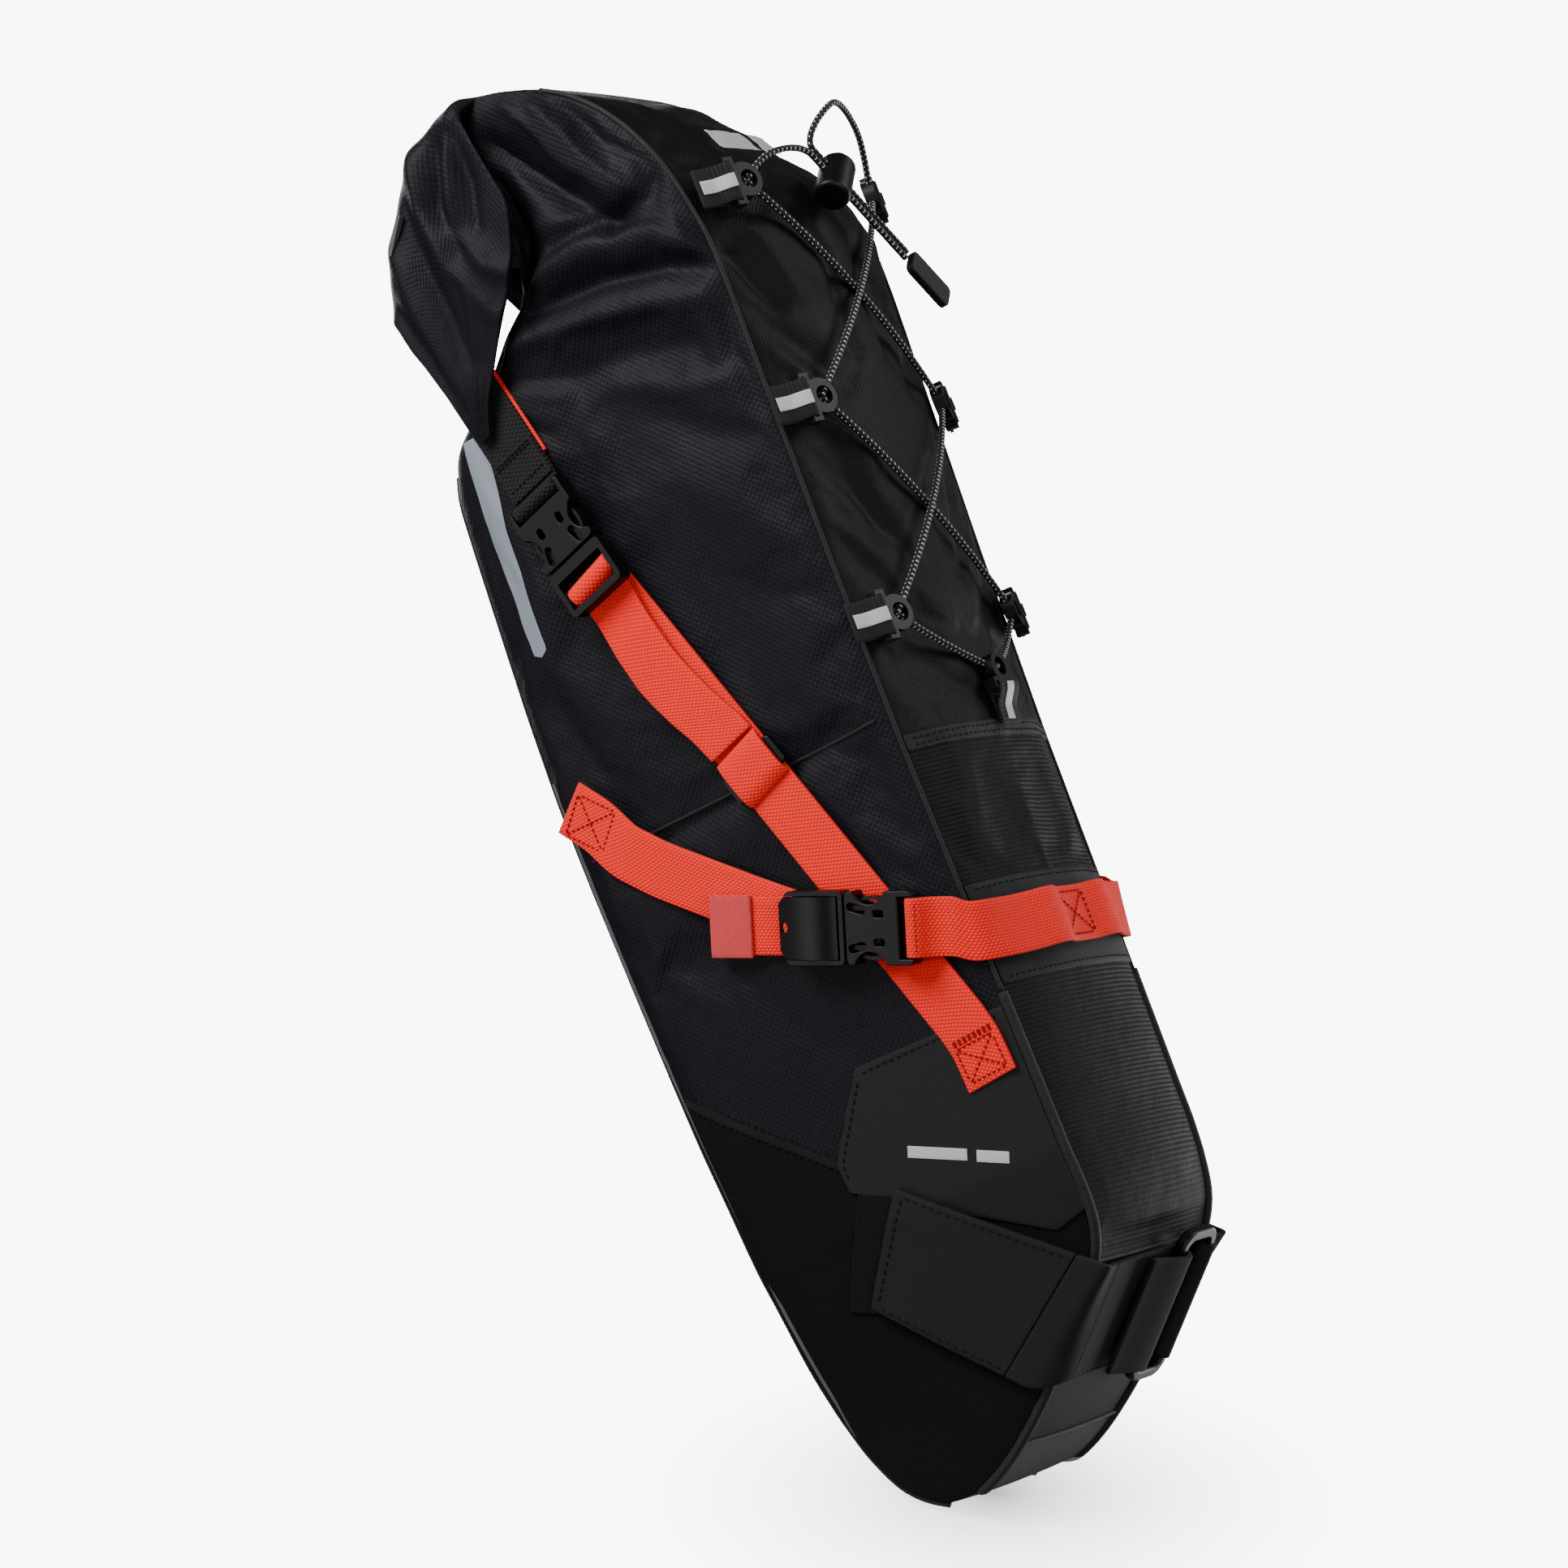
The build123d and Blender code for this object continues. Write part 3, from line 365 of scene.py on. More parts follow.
def slab(name, p, thick, material, away, bevel=0.35):
    """A closed sheet: p is its outer face as a grid, thickened inwards and edged all round."""
    p = np.asarray(p, float)
    n, m = p.shape[:2]
    normal = grid_normals(p)
    normal = normal * np.sign((normal * np.asarray(away)).sum(-1).mean())
    inner = p - normal * thick
    total = n * m
    faces = []
    for a, b, c, d in grid_faces(n, m):
        faces += [(a, b, c, d), (a + total, d + total, c + total, b + total)]
    rim = [i * m for i in range(n)] + [(n - 1) * m + j for j in range(1, m)]
    rim += [i * m + m - 1 for i in range(n - 2, -1, -1)] + list(range(m - 2, 0, -1))
    faces += [(a, b, b + total, a + total) for a, b in zip(rim, rim[1:] + rim[:1])]
    uv = grid_uv(p, n // 2, m // 2)
    points = np.concatenate([p.reshape(-1, 3), inner.reshape(-1, 3)])
    piece = outward(build(name, points, faces, material, np.concatenate([uv, uv])))
    return bevelled(piece, bevel, 50)


def resample(path, step=None, count=None):
    """Evenly spaced points along a polyline."""
    path = np.asarray(path, float)
    length = run_length(path)
    count = count or max(2, int(round(length[-1] / step)) + 1)
    at = np.linspace(0, length[-1], count)
    return np.stack([np.interp(at, length, path[:, k]) for k in range(path.shape[1])], -1)


def smooth_path(path, step, rounds=6):
    """Resample, then relax the corners, keeping the ends."""
    return relax(resample(path, step), rounds)


def tube(name, path, radius, material, sides=12):
    """A round cord along a path, closed at both ends."""
    path = np.asarray(path, float)
    n = len(path)
    tangent = unit(np.gradient(path, axis=0))
    ref = np.array([1.0, 0, 0]) if abs(tangent[0][0]) < 0.8 else np.array([0, 1.0, 0])
    side = unit(np.cross(tangent[0], ref))
    length = run_length(path)
    points, uv = [], []
    for i in range(n):
        side = unit(side - tangent[i] * (side @ tangent[i]))
        up = np.cross(tangent[i], side)
        for k in range(sides):
            a = 2 * math.pi * k / sides
            points.append(path[i] + radius * (math.cos(a) * side + math.sin(a) * up))
            uv.append((length[i], abs(k - sides / 2) * 2 * math.pi * radius / sides))
    faces = grid_faces(n, sides, True)
    faces += [tuple(range(sides - 1, -1, -1)), tuple((n - 1) * sides + k for k in range(sides))]
    return outward(build(name, points, faces, material, uv))


def ribbon(name, path, across, width, thick, material, away, columns=9):
    """Webbing along a path: across holds the width direction at each point."""
    path = np.asarray(path, float)
    across = np.broadcast_to(np.asarray(across, float), path.shape)
    offset = np.linspace(-0.5, 0.5, columns)
    p = path[:, None, :] + offset[None, :, None] * width * unit(across)[:, None, :]
    return slab(name, p, thick, material, away)


def mirrored(points, hand):
    return np.asarray(points, float) * np.array([hand, 1, 1])


# five rings of one stitch: share of its length, lift, share of the thread's radius
STITCH_RINGS = ((0, -0.3, 0.55), (0.2, 0.15, 1), (0.5, 0.3, 1.1), (0.8, 0.15, 1), (1, -0.3, 0.55))
STITCH_SIDES = 6


def stitches(name, rows, material, length=2.6, gap=1.1, radius=0.28):
    """Rows of raised thread: each row is (path, normals)."""
    points, faces, uv = [], [], []
    one = grid_faces(len(STITCH_RINGS), STITCH_SIDES, True)
    one += [tuple(range(5, -1, -1)), tuple(range(24, 30))]
    for path, normals in rows:
        path = np.asarray(path, float)
        steps = run_length(path)
        both = np.concatenate([path, np.broadcast_to(np.asarray(normals, float), path.shape)], 1)
        at = gap
        while at + length < steps[-1]:
            here, there = [np.array([np.interp(q, steps, both[:, k]) for k in range(6)])
                           for q in (at, at + length)]
            up = unit(here[3:])
            run = unit(there[:3] - here[:3])
            side = np.cross(run, up)
            faces += [tuple(len(points) + k for k in f) for f in one]
            for share, lift, fat in STITCH_RINGS:
                mid = here[:3] + run * length * share + up * lift
                for k in range(STITCH_SIDES):
                    a = 2 * math.pi * k / STITCH_SIDES
                    points.append(mid + radius * fat * (math.cos(a) * side + math.sin(a) * up))
                    uv.append((at + share * length, k * 0.3))
            at += length + gap
    return outward(build(name, points, faces, material, uv))


def attach(piece, body, slot, *replaced):
    """Ride a body and stand for CAD nodes, hiding them; slot is not used."""
    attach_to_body(piece, body)
    if replaced:
        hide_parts(*replaced)
    return piece


# ------------------------------------------------------------------ bag surface
FLARE_Z, FLARE_HALF, TAIL_HALF, BODY_TOP = 66.0, 60.0, 75.0, 480.0
SLOPE = (TAIL_HALF - FLARE_HALF) / (BODY_TOP - FLARE_Z)
FLARE = math.atan(SLOPE)
SIDE_N = np.array([-math.cos(FLARE), 0, -math.sin(FLARE)])
SPLIT_Z = 246.0
NOSE_Z, NOSE_HALF = -55.0, 44.5
FABRIC = 1.6
# heights of the seams at the seatpost's face and the tip, and of the underside panel's upper end
POST_SEAM_Z, TIP_SEAM_Z, UNDER_END_Z = 18, -41, 445


def half_width(z):
    """Half the bag's width: a straight flare above the nose, an arc below it."""
    t = np.clip((z - NOSE_Z) / (FLARE_Z - NOSE_Z), 0, 1)
    flare = FLARE_HALF + (z - FLARE_Z) * SLOPE
    return np.where(z >= FLARE_Z, flare, NOSE_HALF + (FLARE_HALF - NOSE_HALF) * t ** 1.2)


def rise(z):
    """How far the middle of the top panel stands out."""
    return np.interp(z, [36, 246, 480, 500, 514, 525, 540, 560, 590], [5, 12, 20, 18, 13, 9, 5, 2, 0])


def top_edge(z):
    return -30 - 6 * np.clip((z - SPLIT_Z) / (BODY_TOP - SPLIT_Z), 0, 1)


def side_point(y, z, h):
    """Point on the flat right side, h above it."""
    return np.array([-half_width(z), y, z]) + SIDE_N * h


# top seam and underside edge, (y, z) pairs from the nose to the ridge of the collar
SEAM_KEYS = [
    ((74, -52), (95, -52)), ((63, -48), (105, -47)), ((52, -42), (114, -39)), ((40, -34), (123, -21)),
    ((24, -22), (129, 0)), ((8, -7.5), (133, 20)), ((-8, 7), (135, 38)), ((-21, 19), (136, 55)),
    ((-28, 32), (137, 68)), ((-30, 50), (138, 80)), ((-30, 72), (139, 98)), ((-30, 103), (141, 126)),
    ((-30, 138), (142, 156)), ((-30, 185), (143, 196)), ((-30, 246), (144, 250)), ((-31, 291), (144, 291)),
    ((-32, 335), (142, 332)), ((-33.5, 380), (139, 372)), ((-35, 427), (136, 410)), ((-36, 455), (134, 433)),
    ((-36, 480), (127, 450)), ((-33, 500), (112, 461)), ((-28, 520), (98, 470)), ((-20, 538), (85, 477)),
    ((-10, 553), (73, 485)), ((3, 566), (62, 495)), ((19, 576), (56, 514)), ((36, 583), (54, 540)),
    ((52, 586), (60, 570)),
]
# direction the top and the underside bulge in, at z of the top seam
TOP_DIR = [(-49, (-0.25, -0.97)), (-22, (-0.6, -0.8)), (19, (-0.743, -0.669)), (36, (-0.95, -0.3)),
           (55, (-1, 0)), (500, (-1, 0)), (545, (-0.85, 0.53)), (588, (-0.35, 0.94))]
UNDER_DIR = [(-52, (0.3, -0.95)), (-20, (0.85, -0.52)), (20, (1, 0)), (430, (1, 0)), (452, (0.7, 0.7)),
             (475, (0.5, 0.85)), (500, (0.9, 0.4)), (563, (1, 0))]
# soft folds on the side: line through (y, z), height and half width; a negative height is a valley
SIDE_FOLDS = [
    ([(56, 500), (20, 500), (-16, 490), (-38, 470)], 6.5, 7),
    ([(58, 488), (20, 484), (-12, 475), (-37, 465)], -7.5, 5),
    ([(70, 478), (30, 471), (0, 464), (-28, 455)], 4.5, 7),
    ([(84, 464), (48, 452), (18, 450), (-10, 440)], -4.5, 8),
    ([(44, 562), (24, 532), (4, 505)], -8.0, 6), ([(16, 568), (6, 538), (-12, 512)], 6.0, 6),
    ([(30, 574), (16, 545), (-2, 520)], 4.0, 5), ([(4, 560), (-6, 538), (-22, 522)], -4.5, 5),
    ([(2, 503), (-18, 508), (-32, 516)], -5.0, 5), ([(50, 545), (50, 520), (55, 500)], -10.0, 7),
    ([(40, 520), (20, 515), (0, 512)], 3.0, 5), ([(36, 508), (10, 508), (-20, 496)], -3.0, 4),
    ([(104, 455), (84, 446), (70, 436)], -4.5, 6), ([(96, 462), (76, 458), (58, 448)], 3.0, 5),
    ([(60, 436), (58, 420), (50, 400)], -2.2, 8), ([(30, 440), (4, 425), (-20, 420)], 2.0, 7),
    ([(20, 420), (-5, 400), (-24, 392)], -2.0, 8), ([(-34, 452), (-28, 430), (-30, 400)], -3.5, 4),
    ([(24, 350), (0, 330), (-22, 318)], -1.6, 9), ([(120, 330), (110, 290), (112, 250)], -1.8, 9),
    ([(118, 420), (110, 380), (112, 340)], 1.5, 8), ([(44, 300), (30, 276), (6, 262)], -1.4, 7),
    ([(110, 254), (60, 256), (10, 258)], -1.2, 4), ([(100, 210), (60, 150), (50, 140)], -1.0, 10),
]
TOP_FOLDS = [
    ([(-74, 474), (-60, 466), (-50, 446)], -10.0, 5), ([(-64, 486), (-50, 474), (-40, 448)], 4.5, 4),
    ([(-70, 452), (-52, 430), (-30, 405)], -3.5, 7), ([(-66, 430), (-44, 404), (-28, 372)], 2.5, 6),
    ([(-70, 408), (-46, 380), (-34, 340)], -2.5, 6), ([(-60, 380), (-36, 350), (-18, 320)], -2.8, 6),
    ([(-64, 352), (-44, 330), (-30, 300)], 2.0, 6), ([(-58, 335), (-34, 306), (-10, 290)], -2.2, 7),
    ([(-26, 500), (-12, 460), (-16, 420)], -3.5, 4), ([(-8, 500), (4, 460), (2, 410)], 2.8, 5),
    ([(16, 500), (22, 450), (18, 400)], -3.0, 4), ([(36, 490), (40, 440), (34, 390)], 2.4, 4),
    ([(-40, 285), (-24, 268), (0, 260)], -1.6, 5), ([(-66, 300), (-50, 280), (-44, 258)], -1.8, 5),
    ([(-50, 540), (-30, 525), (0, 522)], -2.0, 6), ([(-66, 520), (-50, 505), (-30, 500)], -3.0, 6),
    ([(-68, 220), (-50, 190), (-40, 186)], -1.2, 6),
]
WING_FOLDS = [
    ([(51, 584), (64, 560), (73, 533), (62, 512), (52, 504)], 4.5, 5),
    ([(66, 570), (75, 548), (71, 524)], -7.0, 5),
    ([(80, 574), (84, 548), (80, 520), (68, 492)], 4.0, 6), ([(91, 556), (91, 520), (88, 478)], -3.5, 5),
    ([(106, 540), (102, 500), (97, 450)], 3.0, 6), ([(56, 572), (56, 550), (60, 530)], -5.0, 4),
    ([(78, 500), (86, 480), (94, 456)], 2.0, 4), ([(114, 520), (106, 490), (100, 460)], -2.5, 4),
]


def fold_height(a, b, folds):
    """Sum of the folds' heights at points (a, b)."""
    total = np.zeros_like(a)
    for line, height, wide in folds:
        line = np.asarray(line, float)
        best = np.full_like(a, 1e9)
        share = np.zeros_like(a)
        count = len(line) - 1
        for k in range(count):
            d = line[k + 1] - line[k]
            t = np.clip(((a - line[k, 0]) * d[0] + (b - line[k, 1]) * d[1]) / (d @ d), 0, 1)
            away = np.hypot(a - line[k, 0] - t * d[0], b - line[k, 1] - t * d[1])
            near = away < best
            best = np.where(near, away, best)
            share = np.where(near, (k + t) / count, share)
        fading = 0.45 + 0.55 * np.sin(math.pi * (0.15 + 0.7 * share))
        total += height * np.exp(-(best / wide) ** 1.45) * fading
    return total


# points across half the top panel and across the side, and stations from the nose to the roll
N_TOP, N_SIDE, STATIONS = 22, 60, 220


def direction(keys, z):
    """Bulge direction at height z."""
    return np.array([np.interp(z, [d[0] for d in keys], [d[1][k] for d in keys]) for k in (0, 1)])


def bag_grid():
    """Right half of the bag: one row of points per station, from the top's middle to the underside's."""
    keys = np.array([[*t, *u] for t, u in SEAM_KEYS], float)
    keys = relax(resample(keys, count=STATIONS), 3)
    rows = []
    for ty, tz, uy, uz in keys:
        t_dir, u_dir = direction(TOP_DIR, tz), direction(UNDER_DIR, uz)
        length = math.hypot(uy - ty, uz - tz)
        t = np.linspace(0, 1, N_SIDE + 1)
        y, z = ty + t * (uy - ty), tz + t * (uz - tz)
        top_round = np.interp(tz, [-49, 30, 80, 480, 588], [2, 2.0, 3.0, 4.5, 3])
        low_round = np.interp(uz, [-49, 40, 460, 500, 578], [5, 11, 12, 8, 3])
        rounding = top_round * np.exp(-t * length / 7) + low_round * np.exp(-(1 - t) * length / 11)
        x = rounding - half_width(z)
        fade = np.clip(np.minimum(t, 1 - t) * length / 8, 0, 1)
        x = x - fold_height(y, z, SIDE_FOLDS) * fade
        side = np.stack([x, y, z], -1)
        s = np.linspace(0, 1, N_TOP + 1)[:-1]
        tx, ux = x[0], x[-1]
        height = FABRIC * np.clip((tz - 30) / 20, 0, 1)
        folds = fold_height(s * tx, tz + 0 * s, TOP_FOLDS)
        lift = (rise(tz) if tz > 30 else 1.0) * (1 - s * s) + (height + folds) * (1 - s ** 6)
        top = np.stack([s * tx, ty + t_dir[0] * lift, tz + t_dir[1] * lift], -1)
        s = s[::-1]
        lift = np.interp(uz, [-49, 40, 300, 462, 500], [1, 4, 6, 3, 1]) * (1 - s * s)
        under = np.stack([s * ux, uy + u_dir[0] * lift, uz + u_dir[1] * lift], -1)
        rows.append(np.concatenate([top, side, under]))
    return np.array(rows)


def settle(grid, frames=14, cap=4.5):
    """Cloth simulation of the half bag: seams and the stiff nose are pinned, the panels take up slack."""
    n, m = grid.shape[:2]
    piece = build("settling", grid.reshape(-1, 3), grid_faces(n, m), "fabric")
    pin = piece.vertex_groups.new(name="pin")
    z = grid[..., 2]
    col = np.arange(m)[None, :] + 0 * z
    weight = np.maximum.reduce([
        np.exp(-((col - N_TOP) / 1.2) ** 2), np.exp(-((col - N_TOP - N_SIDE) / 1.6) ** 2),
        (col == 0) * 1.0, (col == m - 1) * 1.0, np.clip((190 - z) / 60, 0, 1), np.clip((z - 560) / 15, 0, 1)])
    weight[0] = weight[-1] = 1
    for k, w in enumerate(weight.ravel()):
        pin.add([k], float(w), "REPLACE")
    cloth = piece.modifiers.new("cloth", "CLOTH")
    c = cloth.settings
    c.quality = 6
    c.mass = 0.25
    c.tension_stiffness = c.compression_stiffness = 18
    c.shear_stiffness = 8
    c.bending_stiffness = 0.35
    c.vertex_group_mass = "pin"
    c.shrink_min = c.shrink_max = -0.009
    c.use_pressure = True
    c.uniform_pressure_force = 1.2
    c.effector_weights.gravity = 0
    cloth.collision_settings.use_collision = False
    scene = bpy.context.scene
    scene.frame_start, scene.frame_end = 1, frames
    cloth.point_cache.frame_start, cloth.point_cache.frame_end = 1, frames
    for f in range(1, frames + 1):
        scene.frame_set(f)
    ready = piece.evaluated_get(bpy.context.evaluated_depsgraph_get()).to_mesh()
    moved = np.zeros(n * m * 3)
    ready.vertices.foreach_get("co", moved)
    moved = moved.reshape(n, m, 3) / MM - grid
    size = np.linalg.norm(moved, axis=-1, keepdims=True)
    moved = moved * np.minimum(1, cap / np.maximum(size, 1e-9)) * (1 - weight[..., None])
    bpy.data.objects.remove(piece)
    scene.frame_set(1)
    return grid + moved


# the side's swell is free beyond this distance from the hardware's middle lines
HARDWARE_REACH, FREE_SWELL, CLEARANCE = 30, 3.5, 0.1


def keep_under_hardware(grid):
    """Hold the fabric below the buckles, straps, guides and cord that lie on it."""
    x, y, z = grid[..., 0], grid[..., 1], grid[..., 2]
    side = np.zeros(grid.shape[:2], bool)
    side[:, N_TOP:N_TOP + N_SIDE + 1] = True
    near = np.zeros_like(x)
    for line in ([(-14, 110), (76, 380), (92, 450)], [(-30, 165), (60, 203), (100, 220)],
                 [(60, 203), (132, 282)], [(66, 57), (4, 0)]):
        near = np.maximum(near, np.clip((HARDWARE_REACH - line_distance(y, z, line)) / 10, 0, 1))
    limit = half_width(z) + CLEARANCE + FREE_SWELL * (1 - near)
    x = np.where(side, np.maximum(x, -limit), x)
    top = np.zeros_like(side)
    top[:, :N_TOP] = True
    top &= (z > 55) & (z < 515)
    half = half_width(z)
    surface = top_edge(z) - rise(z) * (1 - (x / half) ** 2) - FABRIC - CLEARANCE
    y = np.where(top, np.maximum(y, surface), y)
    return np.stack([x, y, z], -1)


SLANT_FROM_Z, SLANT_RUN, SLANT_REACH = 490, 60, 70
SLANT_BY = np.array([-6, 12, -7])


def slant(p):
    """The closure hangs a little lower on the left: p is a point array on the left half."""
    t = np.clip((p[..., 2:] - SLANT_FROM_Z) / SLANT_RUN, 0, 1) * np.clip(p[..., :1] / SLANT_REACH, 0, 1)
    return p + t * t * (3 - 2 * t) * SLANT_BY


def line_distance(a, b, line):
    best = np.full_like(a, 1e9)
    for p, q in zip(line, line[1:]):
        p, q = np.asarray(p, float), np.asarray(q, float)
        d = q - p
        t = np.clip(((a - p[0]) * d[0] + (b - p[1]) * d[1]) / (d @ d), 0, 1)
        best = np.minimum(best, np.hypot(a - p[0] - t * d[0], b - p[1] - t * d[1]))
    return best


grid = bag_grid()
grid = settle(grid)
grid = keep_under_hardware(grid)
cols_n = grid.shape[1]


SHELL_SLOTS = ("fabric", "top", "ribbed", "boot", "tip", "patch")


def panel_look(column, top_z, under_z):
    """Material of a face on either half, by its column from the top's middle and its station's heights."""
    if column < N_TOP:
        if top_z > POST_SEAM_Z:
            return "top" if top_z > SPLIT_Z else "ribbed"
        return "patch" if top_z > TIP_SEAM_Z else "tip"
    if column < N_TOP + N_SIDE or under_z >= UNDER_END_Z:
        return "fabric"
    return "tip" if under_z < -44 else "boot"


def bag_shell():
    """Both halves of the bag as one closed skin, closed at the nose and inside the roll."""
    left = slant(mirrored(grid[:, cols_n - 2:0:-1], -1))
    ring = np.concatenate([grid, left], 1)
    n, m = ring.shape[:2]
    faces, looks = [], []
    for number, (a, b, c, d) in enumerate(grid_faces(n, m, True)):
        i, j = divmod(number, m)
        faces.append((a, d, c, b))
        looks.append(panel_look(j if j < cols_n - 1 else m - 1 - j, ring[i, 0, 2], ring[i, cols_n - 1, 2]))
    for row in (0, (n - 1) * m):
        for k in range(N_TOP):
            for way in (1, -1):
                top = [row + way * q % m for q in (k, k + 1)]
                low = [row + (cols_n - 1 - way * q) % m for q in (k + 1, k)]
                faces.append((*top, *low))
                looks.append("tip")
        for corner in (range(N_TOP, N_TOP + N_SIDE + 1), range(m - N_TOP - N_SIDE, m - N_TOP + 1)):
            faces.append(tuple(row + c % m for c in corner))
            looks.append("fabric")
    flat = ring.reshape(-1, 3)
    piece = build("bag_shell", flat, faces, "fabric", np.zeros((len(flat), 2)))
    for extra in SHELL_SLOTS[1:]:
        piece.data.materials.append(MAT[extra])
    piece.data.polygons.foreach_set("material_index", [SHELL_SLOTS.index(look) for look in looks])
    run = np.repeat(run_length(ring[:, N_TOP + N_SIDE // 2]), m)
    layer = piece.data.uv_layers["cloth"].data
    for face in piece.data.polygons:
        side_face = abs(face.normal.x) > 0.6
        for corner, k in zip(face.loop_indices, face.vertices):
            layer[corner].uv = (flat[k, 1], flat[k, 2]) if side_face else (flat[k, 0], run[k])
    return subdivided(outward(piece))


shell = bag_shell()
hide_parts("side_panel_upper_right", "side_panel_upper_left", "side_panel_lower_right",
            "side_panel_lower_left", "top_panel_upper", "top_panel_lower", "underside_panel", "tail_collar",
            "seatpost_panel", "nose_boots", "tip_panel")
TREE = BVHTree.FromPolygons([Vector(p) for p in grid.reshape(-1, 3)], grid_faces(*grid.shape[:2]))


def on_side(y, z, h):
    """Point h above the right side's fabric, and the fabric's outward normal."""
    hit, normal, _, _ = TREE.ray_cast(Vector((-260, y, z)), Vector((1, 0, 0)))
    if hit is None or hit.x > -half_width(z) + 26:
        return side_point(y, z, h), SIDE_N
    normal = np.array(normal)
    normal = normal if normal[0] < 0 else -normal
    normal = unit(0.5 * normal + 0.5 * SIDE_N)
    return np.array(hit) + normal * h, normal


def on_top(x, z, h):
    """Point h above the top panel's fabric, and its outward normal."""
    hit, normal, _, _ = TREE.ray_cast(Vector((-abs(x), -260, z)), Vector((0, 1, 0)))
    if hit is None:
        y = float(top_edge(z) - rise(z) - FABRIC)
        return np.array([x, y - h, z]), np.array([0, -1.0, 0])
    normal = np.array(normal)
    normal = normal if normal[1] < 0 else -normal
    point = np.array(hit) + normal * h
    if x > 0:
        point, normal = mirrored(point, -1), mirrored(normal, -1)
    return point, normal


def soften(heights, rounds):
    """Let a strap bridge small hollows: relax its height along its length, never sinking."""
    h = heights.copy()
    for _ in range(rounds):
        h = np.minimum(relax(h.copy(), 1), heights)
    return h


def side_ruled(edge_a, edge_b, h, rows, columns):
    """Grid on the right side between two (y, z) edges, h above the fabric."""
    edges = zip(resample(edge_a, count=rows), resample(edge_b, count=rows))
    return np.array([[on_side(*(a * (1 - s) + b * s), h)[0] for s in np.linspace(0, 1, columns)]
                     for a, b in edges])


def side_band(line, half, columns, h):
    """Grid along a (y, z) line on the right side, reaching half to each side of it."""
    along = unit(np.gradient(line, axis=0))
    across = np.stack([-along[:, 1], along[:, 0]], -1) * np.broadcast_to(half, len(line))[:, None]
    return np.array([[on_side(*(p + a * s), h)[0] for s in np.linspace(-1, 1, columns)]
                     for p, a in zip(line, across)])


def side_strip(line, width, h, columns, step, rounds):
    """Grid of a strap lying along a (y, z) line on the right side."""
    out = side_band(smooth_path(line, step, 2), width / 2, columns, h)
    out[..., 0] = soften(out[..., 0], rounds)
    return out


def side_row(line, h, step=2.5):
    """A stitch row on the right side."""
    line = resample(line, step)
    hits = [on_side(y, z, h) for y, z in line]
    return np.array([p for p, _ in hits]), np.array([n for _, n in hits])


def both_sides(make):
    """Decorator: runs a right-hand recipe at once for both sides; hand -1 mirrors it."""
    for side, hand in SIDES:
        make(side, hand)


def once(side, *nodes_replaced):
    """CAD nodes that cover both sides are named by the right-hand piece alone."""
    return nodes_replaced if side == "right" else ()


def side_slab(name, hand, points, thick, material, bevel=0.35):
    """A sheet on the right side, or its mirror image."""
    return slab(name, mirrored(points, hand), thick, material, mirrored(SIDE_N, hand), bevel)


def sew(name, hand, rows, body, slot, material="thread", *sizes):
    """Stitch rows on the right side, or their mirror image."""
    flipped = [(mirrored(path, hand), mirrored(normals, hand)) for path, normals in rows]
    attach(stitches(name, flipped, material, *sizes), body, slot)


# ------------------------------------------------------------------ nose boots, tip, seatpost face
FACE_X = np.array([1.0, 0, 0])
FACE_Y = np.array([0, -0.743294, 0.668965])
FACE_Z = np.array([0, -0.668965, -0.743294])


@both_sides
def boot(side, hand):
    """Overlapped edge of the boot fabric with two rows of stitching."""
    edge = [(136, 148.5), (112, 128.7), (84, 105.6), (53, 80), (30, 73.1), (-26, 56.3)]
    lip = side_strip(edge, 3.4, 0.55, 5, 2.5, 0)
    attach(side_slab(f"boot_edge_{side}", hand, lip, 0.8, "boot", 0.2), "bag", "boot_fabric")
    rows = [side_row([(133, 143.2), (112, 125.9), (84, 102.8), (56, 80)], 0.25),
            side_row([(133, 152.5), (112, 132.2), (84, 109.1), (56, 86)], 0.15)]
    sew(f"boot_stitches_{side}", hand, rows, "bag", "boot_fabric")


def across_bag(name, near_z, radius, h=0.2):
    """Raised seam across the whole top panel, at the station nearest a height."""
    station = int(np.argmin(np.abs(grid[:, 0, 2] - near_z)))
    half = grid[station, :N_TOP + 1]
    normal = grid_normals(grid)[station, :N_TOP + 1]
    inside = np.array([0, 60, half[0, 2] + 60])
    normal = normal * np.sign((normal * unit(half - inside)).sum(-1, keepdims=True))
    half = half + normal * h
    path = np.concatenate([half[::-1], mirrored(half[1:], -1)])
    attach(tube(name, smooth_path(path, 2.5, 1), radius, "collar_band", 8), "bag", "boot_fabric")


across_bag("tip_seam", TIP_SEAM_Z, 1.1)
across_bag("post_seam", POST_SEAM_Z, 0.8)


# ------------------------------------------------------------------ coated patch, mark, band, hems, stripe
@both_sides
def patch(side, hand):
    """Coated cloth below the compression strap's anchor, with its stitching and two plain bars."""
    top_line = [(73, 97), (47, 131), (-28, 130)]
    low_line = [(72, 84), (34, 62), (-12, 36), (-28, 40)]
    sheet = side_ruled(top_line, low_line, 1.1, 60, 40)
    attach(side_slab(f"coated_patch_{side}", hand, sheet, 0.9, "patch"), "bag", "coated_patch",
           *once(side, "side_patches"))
    sewn = [(70, 88), (70, 96), (46, 128)], [(46, 128), (10, 128), (-26, 127)]
    sew(f"patch_stitches_{side}", hand, [side_row(line, 1.25) for line in sewn], "bag", "coated_patch")
    for number, ends in enumerate(([(38, 90), (12, 79)], [(8, 77), (-6, 71)])):
        bar = side_strip(ends, 5.0, 1.45, 5, 2.0, 2)
        attach(side_slab(f"plain_mark_{number}_{side}", hand, bar, 0.25, "pale_grey", 0.08),
               "bag", "reflective")


